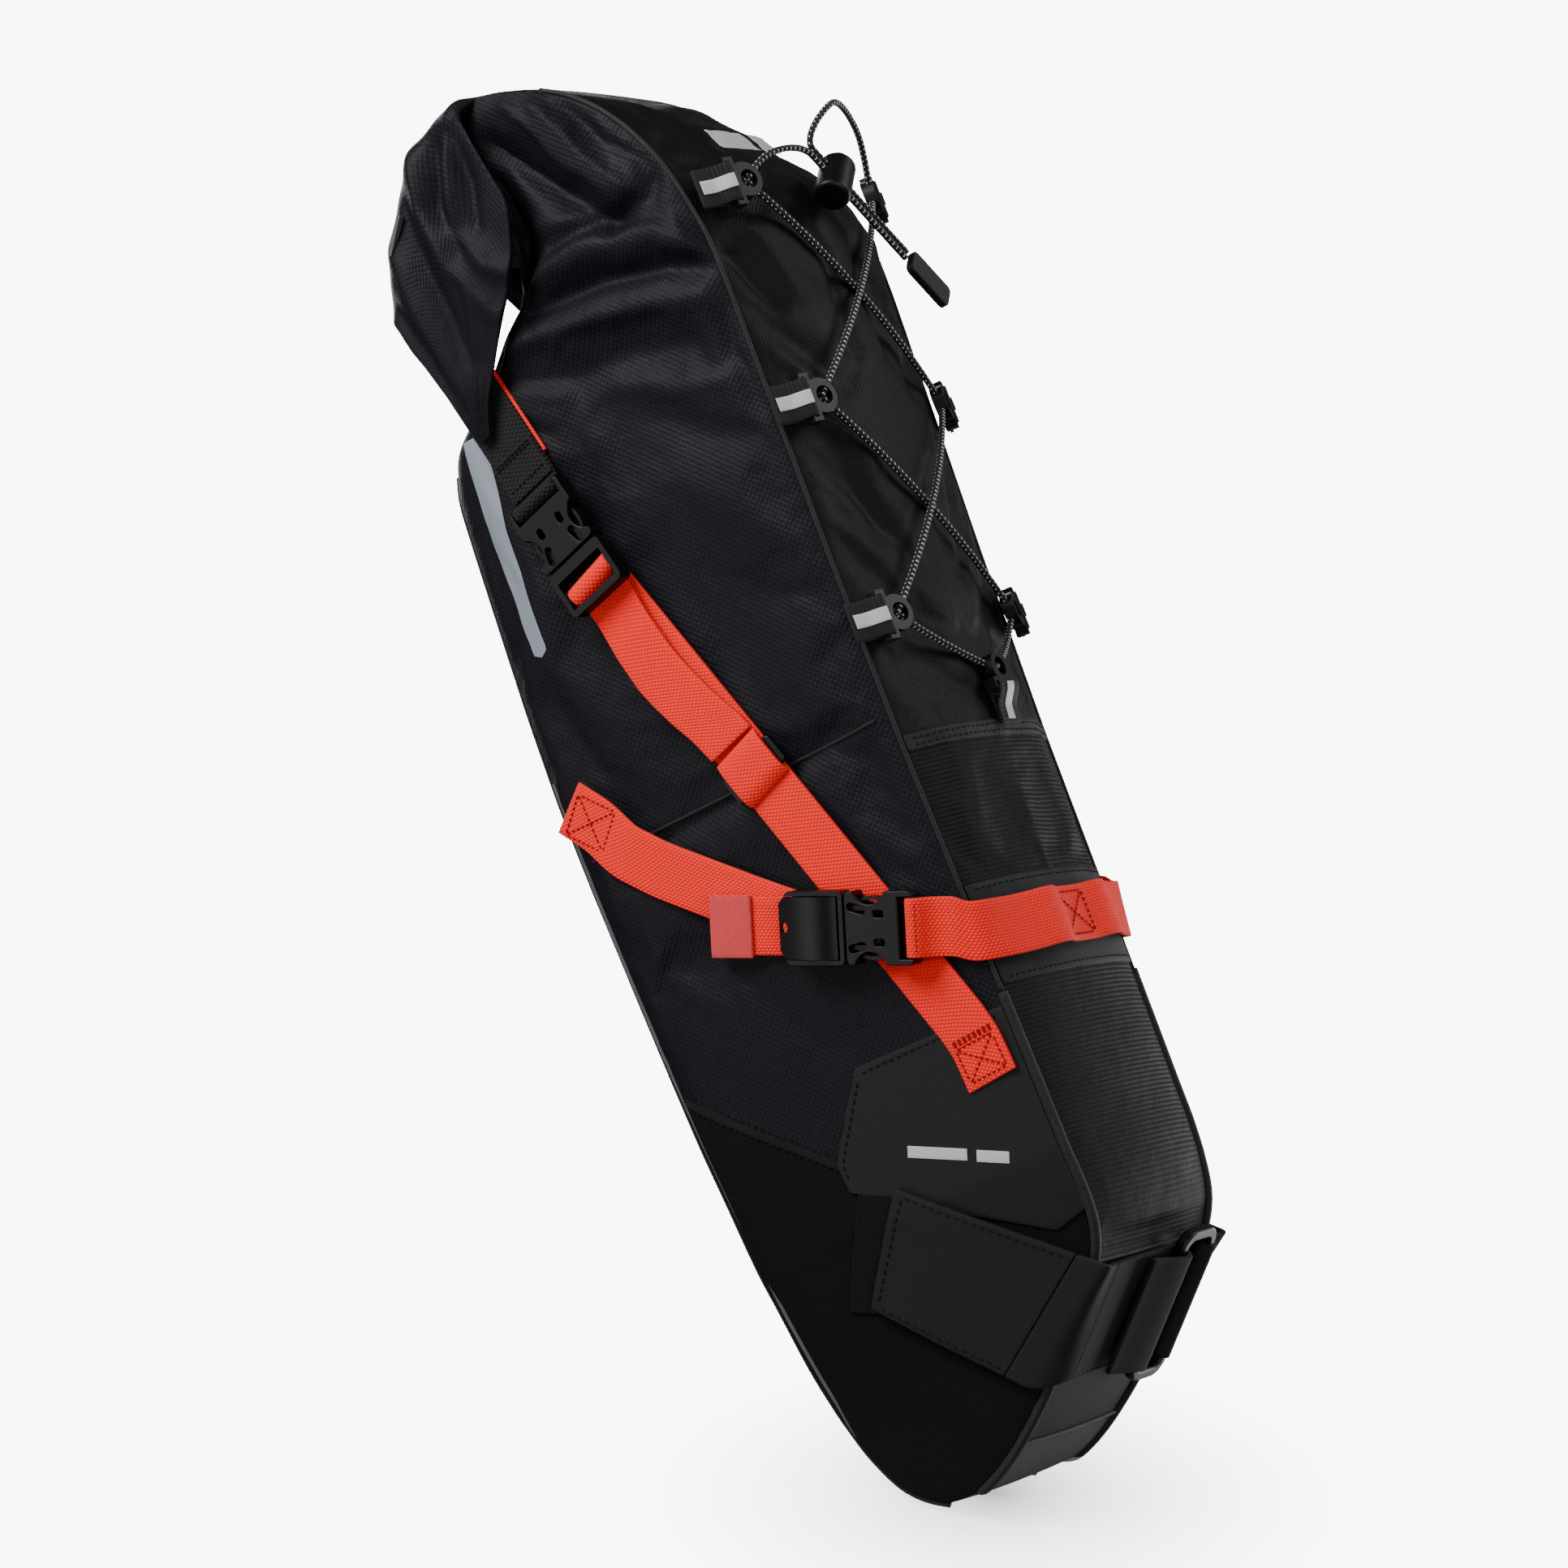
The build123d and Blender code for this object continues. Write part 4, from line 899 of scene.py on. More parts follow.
@both_sides
def stripe(side, hand):
    """Curved reflective print beside the underside edge, narrowing to a round end."""
    step, end_radius = 2.0, 4.2
    line = smooth_path([(109, 452), (110, 432), (114, 405), (115, 380), (115, 350)], step, 8)
    share = np.linspace(0, 1, len(line))
    reach = np.interp(share, [0, 0.5, 0.93, 1], [6.4, 5.4, end_radius, end_radius])
    end = np.clip((1 - share) * len(line) * step / end_radius, 0, 1)
    reach = reach * np.sqrt(1 - (1 - end) ** 2 + 1e-3)
    strip = side_band(line, reach, 9, 0.5)
    relax(strip[..., 0], 4)
    attach(side_slab(f"reflective_stripe_{side}", hand, strip, 0.4, "grey", 0.1), "bag", "reflective",
           *once(side, "reflective_stripes"))


def top_sheet(name, z_low, z_high, material, rows=24, columns=61, reach=0.985, h=0.8, thick=0.7):
    """A sheet across the top panel, h above its fabric."""
    out = [[on_top(s * (half_width(z) - 4), z, h)[0] for s in np.linspace(-reach, reach, columns)]
           for z in np.linspace(z_low, z_high, rows)]
    return slab(name, out, thick, material, (0, -1, 0))


attach(top_sheet("cross_band", 138, 182, "patch"), "bag", "coated_patch", "reinforcement_band")
attach(top_sheet("top_hem", 243, 250, "collar_band", 6), "bag", "fabric")


def top_row(z, h=0.9, reach=0.95):
    """A stitch row across the top panel."""
    hits = [on_top(x, z, h) for x in np.linspace(-reach, reach, 60) * (half_width(z) - 5)]
    return np.array([p for p, _ in hits]), np.array([n for _, n in hits])


sew("band_stitches", 1, [top_row(z) for z in (140.5, 179.5, 245, 248)], "bag", "fabric")
# from the first point to the second the bag's skin gives way to the roll
OUT_CORNER = unit(np.array([-0.7, -0.7, 0]))


@both_sides
def seams(side, hand):
    """Raised seam along the top edge, with thicker woven piping from z 138 down and round the nose."""

    def piping(name, path, radius, slot, sides=8, replaced=()):
        cord = tube(f"{name}_{side}", mirrored(path, hand), radius, "collar_band", sides)
        attach(cord, "bag", slot, *replaced)

    seam = grid[:, N_TOP]
    high = seam[(seam[:, 2] > 132) & (seam[:, 2] < 572)]
    low = seam[seam[:, 2] <= 138]
    low = np.concatenate([low[:1] + [[7, 9, 5]], low[:1] + [[1.5, 3, 0.5]], low])
    piping("nose_piping", smooth_path(low + OUT_CORNER * 0.1, 2.5, 2), 2.2, "black_webbing", 12,
           once(side, "edge_piping"))
    high = mirrored(smooth_path(high + OUT_CORNER * 0.3, 3, 2), hand)
    edge = tube(f"seam_edge_{side}", slant(high) if hand < 0 else high, 1.1, "collar_band", 8)
    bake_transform(edge)
    under = grid[:, N_TOP + N_SIDE]
    under = under[under[:, 2] < UNDER_END_Z] + [0.9, -0.9, 0]
    piping("underside_seam", smooth_path(under, 3, 2), 1.7, "fabric")
    piping("cross_seam", [on_side(y, 260, 0.2)[0] for y in np.linspace(-24, 132, 60)], 0.7, "fabric")


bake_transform(shell)

# ------------------------------------------------------------------ roll closure
# each section: x, five (y, z) points from the front of the roll over its top to the back, its thickness
ROLL_KEYS = [
    (0, (36, 588), (60, 592), (90, 584), (112, 562), (122, 541), 11),
    (-40, (37, 588), (60, 592), (90, 583), (115, 555), (126, 530), 11),
    (-66, (38, 586), (60, 590), (89, 580), (117, 549), (128, 517), 11),
    (-78, (44, 583), (58, 588), (86, 577), (112, 545), (123, 513), 10),
    (-85, (49, 579), (58, 583), (81, 573), (105, 541), (119, 510), 8),
    (-87, (46, 562), (58, 566), (80, 556), (100, 532), (116, 503), 8),
    (-87, (40, 532), (56, 536), (78, 532), (98, 515), (114, 495), 8),
    (-86, (50, 505), (62, 508), (78, 506), (96, 498), (111, 486), 7),
    (-85, (60, 494), (70, 496), (82, 493), (96, 486), (108, 475), 6),
    (-84, (73, 479), (80, 480), (88, 477), (97, 471), (104, 462), 5),
    (-82, (88, 460), (91, 460), (95, 458), (99, 455), (102, 451), 4),
    (-81, (95, 445), (96, 445), (97.5, 444.5), (99, 444.5), (100, 444), 2),
]


def roll_sheet(sections=84, across=46):
    """The rolled closure with both wings: a flattened, creased fabric tube lofted through its sections."""
    keys = np.array([[k[0], *[c for p in k[1:6] for c in p], k[6]] for k in ROLL_KEYS], float)
    keys = relax(resample(keys, count=sections), 3)
    outer = np.zeros((sections, across, 3))
    for number, key in enumerate(keys):
        section = relax(resample(key[1:11].reshape(5, 2), count=across), 10)
        outer[number] = np.concatenate([np.full((across, 1), key[0]), section], 1)
    normal = grid_normals(outer)
    inside = np.array([0, 62, 500])
    normal = normal * np.sign((normal * (outer - inside)).sum(-1).mean())
    share = np.linspace(0, 1, across)[None, :, None]
    swell = np.sin(math.pi * np.clip(share, 0, 1)) ** 0.5
    relief = fold_height(outer[..., 1], outer[..., 2], WING_FOLDS)[..., None]
    wing = np.clip((-outer[..., :1] - 60) / 18, 0, 1)
    end = np.clip((sections - 1 - np.arange(sections)) / 8, 0, 1)[:, None, None]
    creases = 1.5 * np.sin(share * 21 + outer[..., :1] * 0.05) * (1 - wing) + 0.25 * np.sin(share * 37 + 1)
    thick = keys[:, 11][:, None, None]
    outside = outer + normal * (relief * wing * end + creases * swell * end)
    inside = outer - normal * thick * (0.2 + 0.8 * swell)
    half = np.concatenate([outside, inside[:, ::-1][:, 1:-1]], 1)
    left = slant(mirrored(half[::-1], -1))[:-1]
    full = np.concatenate([left, half], 0)
    n, m = full.shape[:2]
    faces = [(a, d, c, b) for a, b, c, d in grid_faces(n, m, True)]
    faces += [tuple(range(m)), tuple((n - 1) * m + j for j in range(m))[::-1]]
    uv = grid_uv(full, n // 2, across // 2)
    piece = outward(build("roll_fabric", full.reshape(-1, 3), faces, "fabric", uv))
    attach(subdivided(piece), "roll", "fabric", "roll_closure")


roll_sheet()


# ------------------------------------------------------------------ buckle frames, as in the CAD
def frame_at(origin, x_dir, z_dir):
    x_dir, z_dir = unit(x_dir), unit(z_dir)
    return np.array(origin, float), x_dir, np.cross(z_dir, x_dir), z_dir


def local(f, a, b, c):
    return f[0] + a * f[1] + b * f[2] + c * f[3]


BUCKLE_H = 4.4
TAIL = frame_at(side_point(83, 412, BUCKLE_H), (0, -13, -52), (-1, 0, 0))
rail_a, rail_b = side_point(-11, 173, BUCKLE_H), side_point(56, 200, BUCKLE_H)
RAIL = frame_at(rail_a, rail_b - rail_a, SIDE_N)
strap_a, strap_b = side_point(-14, 117, 0), side_point(72.04, 368.2, 0)
STRAP = frame_at(strap_a, strap_b - strap_a, SIDE_N)
STRAP_LENGTH = float(np.linalg.norm(strap_b - strap_a))
WEB, WEB_T = 25.0, 1.6
RED_STITCH = 1.9, 0.7, 0.3      # length, gap and radius


def in_frame(f, pairs, step=1.2, rounds=3):
    """Path in a frame's length and height plane."""
    return smooth_path([local(f, a, 0, h) for a, h in pairs], step, rounds)


def bent_path(f, triples, step=1.6, rounds=3):
    """Path through (along, across, height) points, and the width direction at each of its points."""
    flat = smooth_path(triples, step, rounds)
    run = np.gradient(flat, axis=0)
    run[:, 0] = np.abs(run[:, 0]) + 0.4
    turn = unit(np.stack([-run[:, 1], run[:, 0]], -1))
    for _ in range(4):
        turn[1:-1] = unit(0.25 * turn[:-2] + 0.5 * turn[1:-1] + 0.25 * turn[2:])
    path = np.array([local(f, *q) for q in flat])
    return path, turn[:, :1] * f[1] + turn[:, 1:] * f[2]


def web(name, hand, path, across, material="red", width=WEB, thick=WEB_T, away=SIDE_N, columns=9):
    """Webbing on the right side, or its mirror image."""
    return ribbon(name, mirrored(path, hand), mirrored(across, hand), width, thick, material,
                  mirrored(away, hand), columns)


def cross_rows(f, places, height, half=11):
    """Short stitch rows straight across a strap, in a frame."""
    return [([local(f, a, -half, height), local(f, a, half, height)], f[3]) for a in places]


def box_rows(f, a0, a1, h):
    """Box stitch with a cross, in a frame."""
    w = WEB / 2 - 3
    corners = [(a0, -w), (a1, -w), (a1, w), (a0, w), (a0, -w)]
    lines = [*zip(corners, corners[1:]), (corners[0], corners[2]), (corners[3], corners[1])]
    return [([local(f, *p, h), local(f, *q, h)], f[3]) for p, q in lines]


@both_sides
def compression(side, hand):
    """Red strap from its sewn anchor up through the plug's bar and back down, doubled, to the tri-glide."""
    n = STRAP_LENGTH
    run = [(-13, 5.9, 2.1), (-4, 3.1, 2.1), (4, 0.9, 2.1), (14, 0, 2.2), (36, 0, 2.2), (n - 30, 0, 2.3),
           (n - 9, 0, 2.6), (n + 2.2, 0, 4.2), (n + 3.9, 0, 8.0), (n + 2.4, 0, 11.7), (n - 2.4, 0, 11.7),
           (n - 4.2, 0, 8.6), (n - 6.5, 0.3, 5.4), (n - 14, 1.2, 4.6), (n - 30, 3.8, 5.0), (n - 48, 5.6, 4.4),
           (n - 60, 5.0, 4.2), (n - 74, 3.2, 4.2), (180, 0.8, 4.1), (170, 0, 4.1)]
    attach(web(f"compression_strap_{side}", hand, *bent_path(STRAP, run)), "bag", "red_webbing",
           *once(side, "compression_straps"))
    wrap = in_frame(STRAP, [(144, 3.6), (146.5, 5.8), (150, 6.6), (160, 6.6), (165, 6.2), (168, 4.9)], 1.2, 2)
    attach(web(f"tri_glide_wrap_{side}", hand, wrap, STRAP[2]), f"tri_glide_{side}", "red_webbing")
    anchor = local(STRAP, -12, 5.6, 0)
    f = frame_at(anchor, local(STRAP, 6, 0.6, 0) - anchor, SIDE_N)
    rows = box_rows(f, 2, 17, 2.3) + cross_rows(f, (18.6, 19.5, 20.4), 2.3)
    sew(f"anchor_stitches_{side}", hand, rows, "bag", "red_webbing", "red_thread", *RED_STITCH)


@both_sides
def tail_web(side, hand):
    """Black webbing from the roll through the buckle's bar, its sewn end and its red backing."""
    outwards = (-1, 0, 0)
    path = [(-74, -0.2), (-30, 0.0), (-12, 0.2), (-3.4, 1.2), (-2.6, 4.5), (-1.0, 8.4), (1.8, 9.3), (4.6, 8.2),
            (5.6, 4.5), (4.6, 1.0), (1.6, 0.0)]
    attach(web(f"tail_web_{side}", hand, in_frame(TAIL, path, 1.2, 2), TAIL[2], "black_web", away=outwards),
           "roll", "black_webbing", f"tail_webbing_{side}")
    under = in_frame(TAIL, [(-72, -1.9), (-30, -1.8), (-16, -1.6)], 2, 1)
    under = under + TAIL[2] * (1.1 if TAIL[2][1] < 0 else -1.1)
    attach(web(f"tail_web_backing_{side}", hand, under, TAIL[2], "red", WEB, 1.2, outwards, 5),
           "roll", "red_webbing")
    second = in_frame(TAIL, [(-25, 1.9), (-14, 1.9), (-5, 2.4)], 1.5, 1)
    attach(web(f"tail_web_end_{side}", hand, second, TAIL[2], "black_web", WEB - 0.4, away=outwards),
           "roll", "black_webbing")
    sew(f"tail_web_stitches_{side}", hand, cross_rows(TAIL, (-23.4, -21.9, -10), 2.3), "roll",
        "black_webbing", "thread", 1.8, 0.6, 0.32)


# ------------------------------------------------------------------ rail strap and lower rail strap
def rail_strap():
    """Red strap from one socket's bar over both saddle rails to the other, sewn to the band between."""
    loop = [(1.6, 0.2), (4.8, 1.0), (5.4, 4.5), (4.4, 8.4), (1.4, 9.2), (-2.0, 8.4), (-3.6, 4.6), (-9, 1.4),
            (-16, 0.4)]
    start = [local(RAIL, a, 0, h) for a, h in loop]
    top = [(-66.5, -29, 163), (-65, -33.5, 161.5), (-58, -38.5, 160.5), (-46, -42, 160), (-34, -45.4, 160),
           (-28, -48.8, 160), (-22, -49.9, 160), (-16, -48.8, 160), (-12, -46.4, 160), (0, -46.0, 160)]
    rail_width = RAIL[2] * (1 if RAIL[2][2] > 0 else -1)
    turn = np.clip(np.linspace(0.15, 2.4, len(top)), 0, 1)[:, None]
    width = np.concatenate([np.repeat(rail_width[None], len(start), 0),
                            unit(rail_width * (1 - turn) + np.array([0, 0, 1.0]) * turn)])
    half = np.concatenate([np.array(start + top, float), width], 1)
    flip = np.array([-1, 1, 1, -1, 1, 1])
    both = smooth_path(np.concatenate([half, (half * flip)[::-1][1:]]), 1.8, 3)
    attach(web("rail_strap_web", 1, both[:, :3], both[:, 3:], away=(0, -1, 0)), "bag", "red_webbing",
           "rail_strap")
    f = frame_at((10, -45.6, 160), (1, 0, 0), (0, -1, 0))
    sew("rail_box_stitches", 1, box_rows(f, -25, -2, 1.0), "bag", "red_webbing", "red_thread", *RED_STITCH)


rail_strap()


@both_sides
def rail_side(side, hand):
    """Stitching at the socket's bar, the rail strap's loose end, its keeper and the lower strap."""
    sew(f"rail_bar_stitches_{side}", hand, cross_rows(RAIL, (-2.2,), 9.9), "bag", "red_webbing",
        "red_thread", 1.6, 0.5, 0.3)
    tail = in_frame(RAIL, [(50, 3.0), (55, 1.0), (60, 0.2), (80, 0.1), (103.4, 0.3)], 1.8, 2)
    attach(web(f"rail_tail_web_{side}", hand, tail, RAIL[2]), f"rail_plug_{side}", "red_webbing",
           f"rail_strap_tail_{side}")
    keeper = in_frame(RAIL, [(82, 1.9), (84, 2.1), (94, 2.2), (101, 2.1), (102.4, 1.9)], 1.5, 1)
    attach(web(f"keeper_{side}_web", hand, keeper, RAIL[2], "coral", 27, 1.7), f"keeper_{side}",
           "coral_tab", f"keeper_tab_{side}")
    start, end = side_point(126, 278, 0), side_point(48, 200, 0)
    f = frame_at(start, end - start, SIDE_N)
    length = float(np.linalg.norm(end - start))
    bend = 5.0 if f[2][2] < 0 else -5.0
    run = [(-9, -0.4 * bend, 2.2), (8, 0, 2.2), (24, bend, 2.9), (44, 1.1 * bend, 2.4),
           (length - 20, 0.4 * bend, 2.2), (length, 0, 2.4)]
    piece = web(f"lower_strap_{side}", hand, *bent_path(f, run, 2.5))
    if side == "right":
        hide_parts("lower_rail_straps")
    held, moving = [tuple(mirrored(local(f, a, 0, 1), hand) * MM) for a in (40, length - 4)]
    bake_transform(piece)
    sew(f"lower_strap_stitches_{side}", hand, box_rows(f, -6, 14, 2.4), "bag", "red_webbing",
        "red_thread", *RED_STITCH)


# ------------------------------------------------------------------ seatpost strap and hook patches
STRAP_W, STRAP_T = 55.0, 2.4
HINGE = 0.885    # share of the side part that peels; the rest stays with the corner
LONG_STITCH = 3.0, 1.0, 0.26


def face(x, along, h):
    return FACE_X * x + FACE_Y * along + FACE_Z * h


def tongue_grid(t_from, t_to, rows, columns=25):
    """Side part of the seatpost strap, between two shares of its length from the free end."""
    tip = np.array([(49, 78), (84, 36)], float)
    root_edge = np.array([(-25, 17), (33, -17)], float)
    out = np.zeros((rows, columns, 3))
    for i, t in enumerate(np.linspace(t_from, t_to, rows)):
        a, b = tip * (1 - t) + root_edge * t
        bow = 1.2 * math.sin(math.pi * min(1, t * 1.2))
        for j, s in enumerate(np.linspace(0, 1, columns)):
            y, z = a * (1 - s) + b * s
            out[i, j] = side_point(y, z, 4.2 + bow)
    return out


tongue = tongue_grid(0, HINGE, 40)
root = tongue_grid(HINGE + 0.006, 1, 7)


def strap_face(name, pairs, *replaced):
    """Part of the strap on the nose's face, from its (x, height) profile."""
    path = smooth_path([face(x, 0, h) for x, h in pairs], 1.5, 3)
    piece = ribbon(name, path, FACE_Y, STRAP_W, STRAP_T, "strap", FACE_Z, 17)
    attach(piece, "bag", "strap_neoprene", *replaced)


def corner_piece(side, hand):
    """Soft bend from the side part round the corner of the nose to the face."""
    start = root[-1]
    lead_in = unit(root[-1] - root[-4]) * 9
    end = np.array([face(-40, 27.5 - 55 * s, 5.6) for s in np.linspace(0, 1, root.shape[1])])
    if np.linalg.norm(end[0] - start[0]) > np.linalg.norm(end[-1] - start[0]):
        end = end[::-1]
    lead_out = np.array([-9.0, 0, 0])
    bend = [(1 - t) ** 3 * start + 3 * t * (1 - t) ** 2 * (start + lead_in)
            + 3 * t * t * (1 - t) * (end + lead_out) + t ** 3 * end for t in np.linspace(0, 1, 22)]
    bend = np.array([*root, *bend[1:]])
    piece = slab(f"strap_corner_{side}", mirrored(bend, hand), STRAP_T, "strap",
                 mirrored(FACE_Z + SIDE_N, hand))
    attach(piece, "bag", "strap_neoprene")


attach(side_slab("strap_tongue_cloth", 1, tongue, STRAP_T, "strap"), "strap_tongue", "strap_neoprene",
       "seatpost_strap_tongue")
corner_piece("right", 1)
strap_face("strap_front_cloth", [(-40, 5.6), (-20, 5.0), (6, 4.6), (13, 4.2), (17.6, 7.9), (13, 12.4),
                                 (4, 11.2), (-8, 8.2), (-13, 7.4)], "seatpost_strap_front")
attach(side_slab("strap_left_side", -1, tongue, STRAP_T, "strap"), "bag", "strap_neoprene",
       "seatpost_strap_left")
corner_piece("left", -1)
strap_face("strap_far_cloth", [(40, 5.6), (38, 3.9), (35.6, 4.6), (34.6, 7.9), (37.4, 12.2), (41, 12.0),
                               (44, 9.6), (44.5, 7.6)])


@both_sides
def hem(side, hand):
    """Stitching round the strap's side part, and the hook pile it closes on."""
    inset = tongue[2:-1, 1:-1]
    rows = [(line + SIDE_N * 0.1, SIDE_N) for line in (inset[:, 0], inset[:, -1], inset[0])]
    sew(f"strap_hem_{side}", hand, rows, "strap_tongue" if side == "right" else "bag", "strap_neoprene",
        "thread", *LONG_STITCH)
    hook = side_ruled([(68, 82), (82, 60), (96, 38)], [(44, 72), (58, 50), (72, 28)], 1.5, 34, 24)
    attach(side_slab(f"hook_pile_{side}", hand, hook, 1.3, "hook"), "bag", "hook_loop",
           *once(side, "hook_patches"))


face_rows = [([face(*a), face(*b)], FACE_Z) for a, b in (
    ((-12, -26, 8.6), (-12, 26, 8.6)), ((-44, -26, 5.1), (2, -26, 5.1)), ((-44, 26, 5.1), (2, 26, 5.1)))]
sew("strap_face_stitches", 1, face_rows, "bag", "strap_neoprene", "thread", *LONG_STITCH)

# ------------------------------------------------------------------ bungee lacing
GUIDES = [(-58, 497), (-57, 398), (-56, 300), (58, 497), (57, 398), (56, 300), (6, 264)]
GUIDE_LIFT, GUIDE_T, CORD_R = 2.9, 5.6, 1.5
GUIDE_BAR = GUIDE_LIFT + GUIDE_T / 2


def crown_frame(x, z, height, toward):
    """Frame on the CAD's top panel arc."""
    half, up, edge = float(half_width(z)), float(np.interp(z, [36, 246, 480], [5, 12, 20])), float(top_edge(z))
    if z > BODY_TOP:
        beyond = (z - SPLIT_Z) / (BODY_TOP - SPLIT_Z)
        up, edge = 12 + beyond * 8, -30 - beyond * 6
    radius = (half * half + up * up) / (2 * up)
    angle = math.atan2(x, math.sqrt(radius ** 2 - x ** 2))
    normal = np.array([math.sin(angle), -math.cos(angle), 0])
    origin = np.array([0, edge - up + radius, z]) + normal * (radius + height)
    along = np.array([toward[0], 0, toward[1]], float)
    along = along - normal * (along @ normal)
    return frame_at(origin, along, normal)


def guide_frame(x, z, height):
    return crown_frame(x, z, height, (0, 1) if abs(x) < 10 else (-x, 0))


for number, (x, z) in enumerate(GUIDES):
    f = guide_frame(x, z, 0)
    loop = [(-17, 2.6), (-12, 2.7), (-5, 2.5), (-1.4, 2.2), (1.9, GUIDE_BAR), (0.6, GUIDE_BAR + 4.2),
            (-3, GUIDE_BAR + 3.4), (-9, 4.9), (-17, 4.2)]
    piece = ribbon(f"guide_loop_{number}", in_frame(f, loop, 0.9), f[2], 17.4, 0.9, "loop_web", f[3], 9)
    attach(piece, "bag", "black_webbing", *(("guide_loops",) if number == 0 else ()))
    top = in_frame(f, [(-15.5, 4.75), (-9, 5.35), (-3, GUIDE_BAR + 3.9), (-0.4, GUIDE_BAR + 4.6)], 0.9, 2)
    attach(ribbon(f"guide_stripe_{number}", top, f[2], 6.2, 0.3, "pale_grey", f[3], 5), "bag", "reflective")


def eye(x, z):
    """Middle of a guide's hole for the cord."""
    return local(guide_frame(x, z, GUIDE_BAR), 7.5, 0, 0)


def over(x, z, height):
    """Point above the top panel."""
    return crown_frame(x, z, height, (0, 1))[0]


def curve(points, end=None, count=60):
    """Smooth curve through points; end gives its direction at the last."""
    points = np.asarray(points, float)
    t = run_length(points)
    slope = np.gradient(points, t, axis=0)
    if len(points) == 3:
        slope[0] = 2 * (points[1] - points[0]) / (t[1] - t[0]) - slope[1]
        slope[-1] = 2 * (points[2] - points[1]) / (t[2] - t[1]) - slope[1]
    if end is not None:
        slope[-1] = unit(end) * 0.9
    out = []
    for k in range(len(points) - 1):
        h = t[k + 1] - t[k]
        for q in np.linspace(0, 1, count // (len(points) - 1), endpoint=k == len(points) - 2):
            out.append((2 * q ** 3 - 3 * q * q + 1) * points[k] + (q ** 3 - 2 * q * q + q) * h * slope[k]
                       + (3 * q * q - 2 * q ** 3) * points[k + 1] + (q ** 3 - q * q) * h * slope[k + 1])
    return np.array(out)


LOCK = crown_frame(-2, 495, FABRIC + 9.6, (1, -1))
LOW = FABRIC + 0.2 + CORD_R
HIGH = LOW + 2 * CORD_R + 0.3


def crossing(start, middle, end):
    return curve([eye(*start), over(*middle), eye(*end)])


def into_lock(points, row):
    """From a guide into the cord lock and straight out of its far side."""
    arrival = curve([*points, local(LOCK, -16, row, 0)], LOCK[1])
    return np.concatenate([arrival, local(LOCK, 50, row, 0)[None]])


runs = [crossing((-58, 497), (0, 446, LOW), (57, 398)), crossing((58, 497), (0, 449, HIGH), (-57, 398)),
        crossing((-57, 398), (0, 347, LOW), (56, 300)), crossing((57, 398), (0, 350, HIGH), (-56, 300)),
        crossing((-56, 300), (-22, 284, LOW), (6, 264)), crossing((56, 300), (32, 284, LOW), (6, 264)),
        into_lock([eye(-58, 497), over(-34, 508, 9)], -2),
        into_lock([eye(58, 497), over(32, 521, 13), over(5, 528, 17)], 2)]
for number, run in enumerate(runs):
    attach(tube(f"bungee_cord_{number}", resample(run, 1.2), CORD_R, "cord", 12), "bag", "cord",
           *(("bungee_cord",) if number == 0 else ()))

# plain reflective bars near the closure on the top panel
for number, (x0, x1) in enumerate(((-26, 2), (8, 22))):
    area = [[on_top(x, z, 0.35)[0] for z in np.linspace(524, 536, 7)] for x in np.linspace(x0, x1, 15)]
    bar_print = slab(f"tail_print_{number}", area, 0.2, "pale_grey", (0, -1, 0.2), 0.06)
    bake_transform(bar_print)

# ------------------------------------------------------------------ carried-over CAD nodes
def cad_look(name):
    if name == "cord_lock_spring":
        return "wire"
    if name == "pull_tab":
        return "rubber"
    return "stiffener" if "stiffener" in name else "plastic"


for name, node in nodes.items():
    if node.hide_render:
        continue
    material = cad_look(name)
    node.data.materials.clear()
    node.data.materials.append(MAT[material])
    if material in ("plastic", "rubber"):
        bevelled(node, 0.35, 40)
    node.data.polygons.foreach_set("use_smooth", [True] * len(node.data.polygons))
    flat = node.modifiers.new("shade", "WEIGHTED_NORMAL")
    flat.keep_sharp = True

# ------------------------------------------------------------------ camera, floor with painted contact shadow, light
TARGET = np.array([0.0, 66, 266])
PHI, ELEV, ROLL, DISTANCE = math.radians(30), math.radians(-9.5), math.radians(21), 2000.0
SENSOR, PICTURE_WIDTH = 36, 690.0
BACK = np.array([-math.cos(PHI) * math.cos(ELEV), -math.sin(PHI) * math.cos(ELEV), math.sin(ELEV)])
flat_right = unit(np.cross(-BACK, [0, 0, 1]))
flat_up = np.cross(flat_right, -BACK)
RIGHT = math.cos(ROLL) * flat_right - math.sin(ROLL) * flat_up
UP = math.sin(ROLL) * flat_right + math.cos(ROLL) * flat_up


def aim(obj, place, right, up, back):
    m = Matrix.Identity(4)
    for row in range(3):
        m[row][0], m[row][1], m[row][2] = right[row], up[row], back[row]
        m[row][3] = place[row] * MM
    obj.matrix_world = m


camera = bpy.data.objects.new("camera", bpy.data.cameras.new("camera"))
bpy.context.scene.collection.objects.link(camera)
camera.data.sensor_width = SENSOR
camera.data.lens = SENSOR * DISTANCE / PICTURE_WIDTH
camera.data.clip_end = 20
aim(camera, TARGET + BACK * DISTANCE, RIGHT, UP, BACK)
bpy.context.scene.camera = camera


def light(name, direction, distance, size, power):
    """A soft square light aimed at the bag from a direction in the picture's right, up and near axes."""
    d = unit(RIGHT * direction[0] + UP * direction[1] + BACK * direction[2])
    lamp = bpy.data.objects.new(name, bpy.data.lights.new(name, "AREA"))
    lamp.data.shape = "SQUARE"
    lamp.data.size = size
    lamp.data.energy = power
    bpy.context.scene.collection.objects.link(lamp)
    side = unit(np.cross([0.1, 0.3, 1.0], d))
    aim(lamp, TARGET + d * distance, side, np.cross(d, side), d)
    return lamp


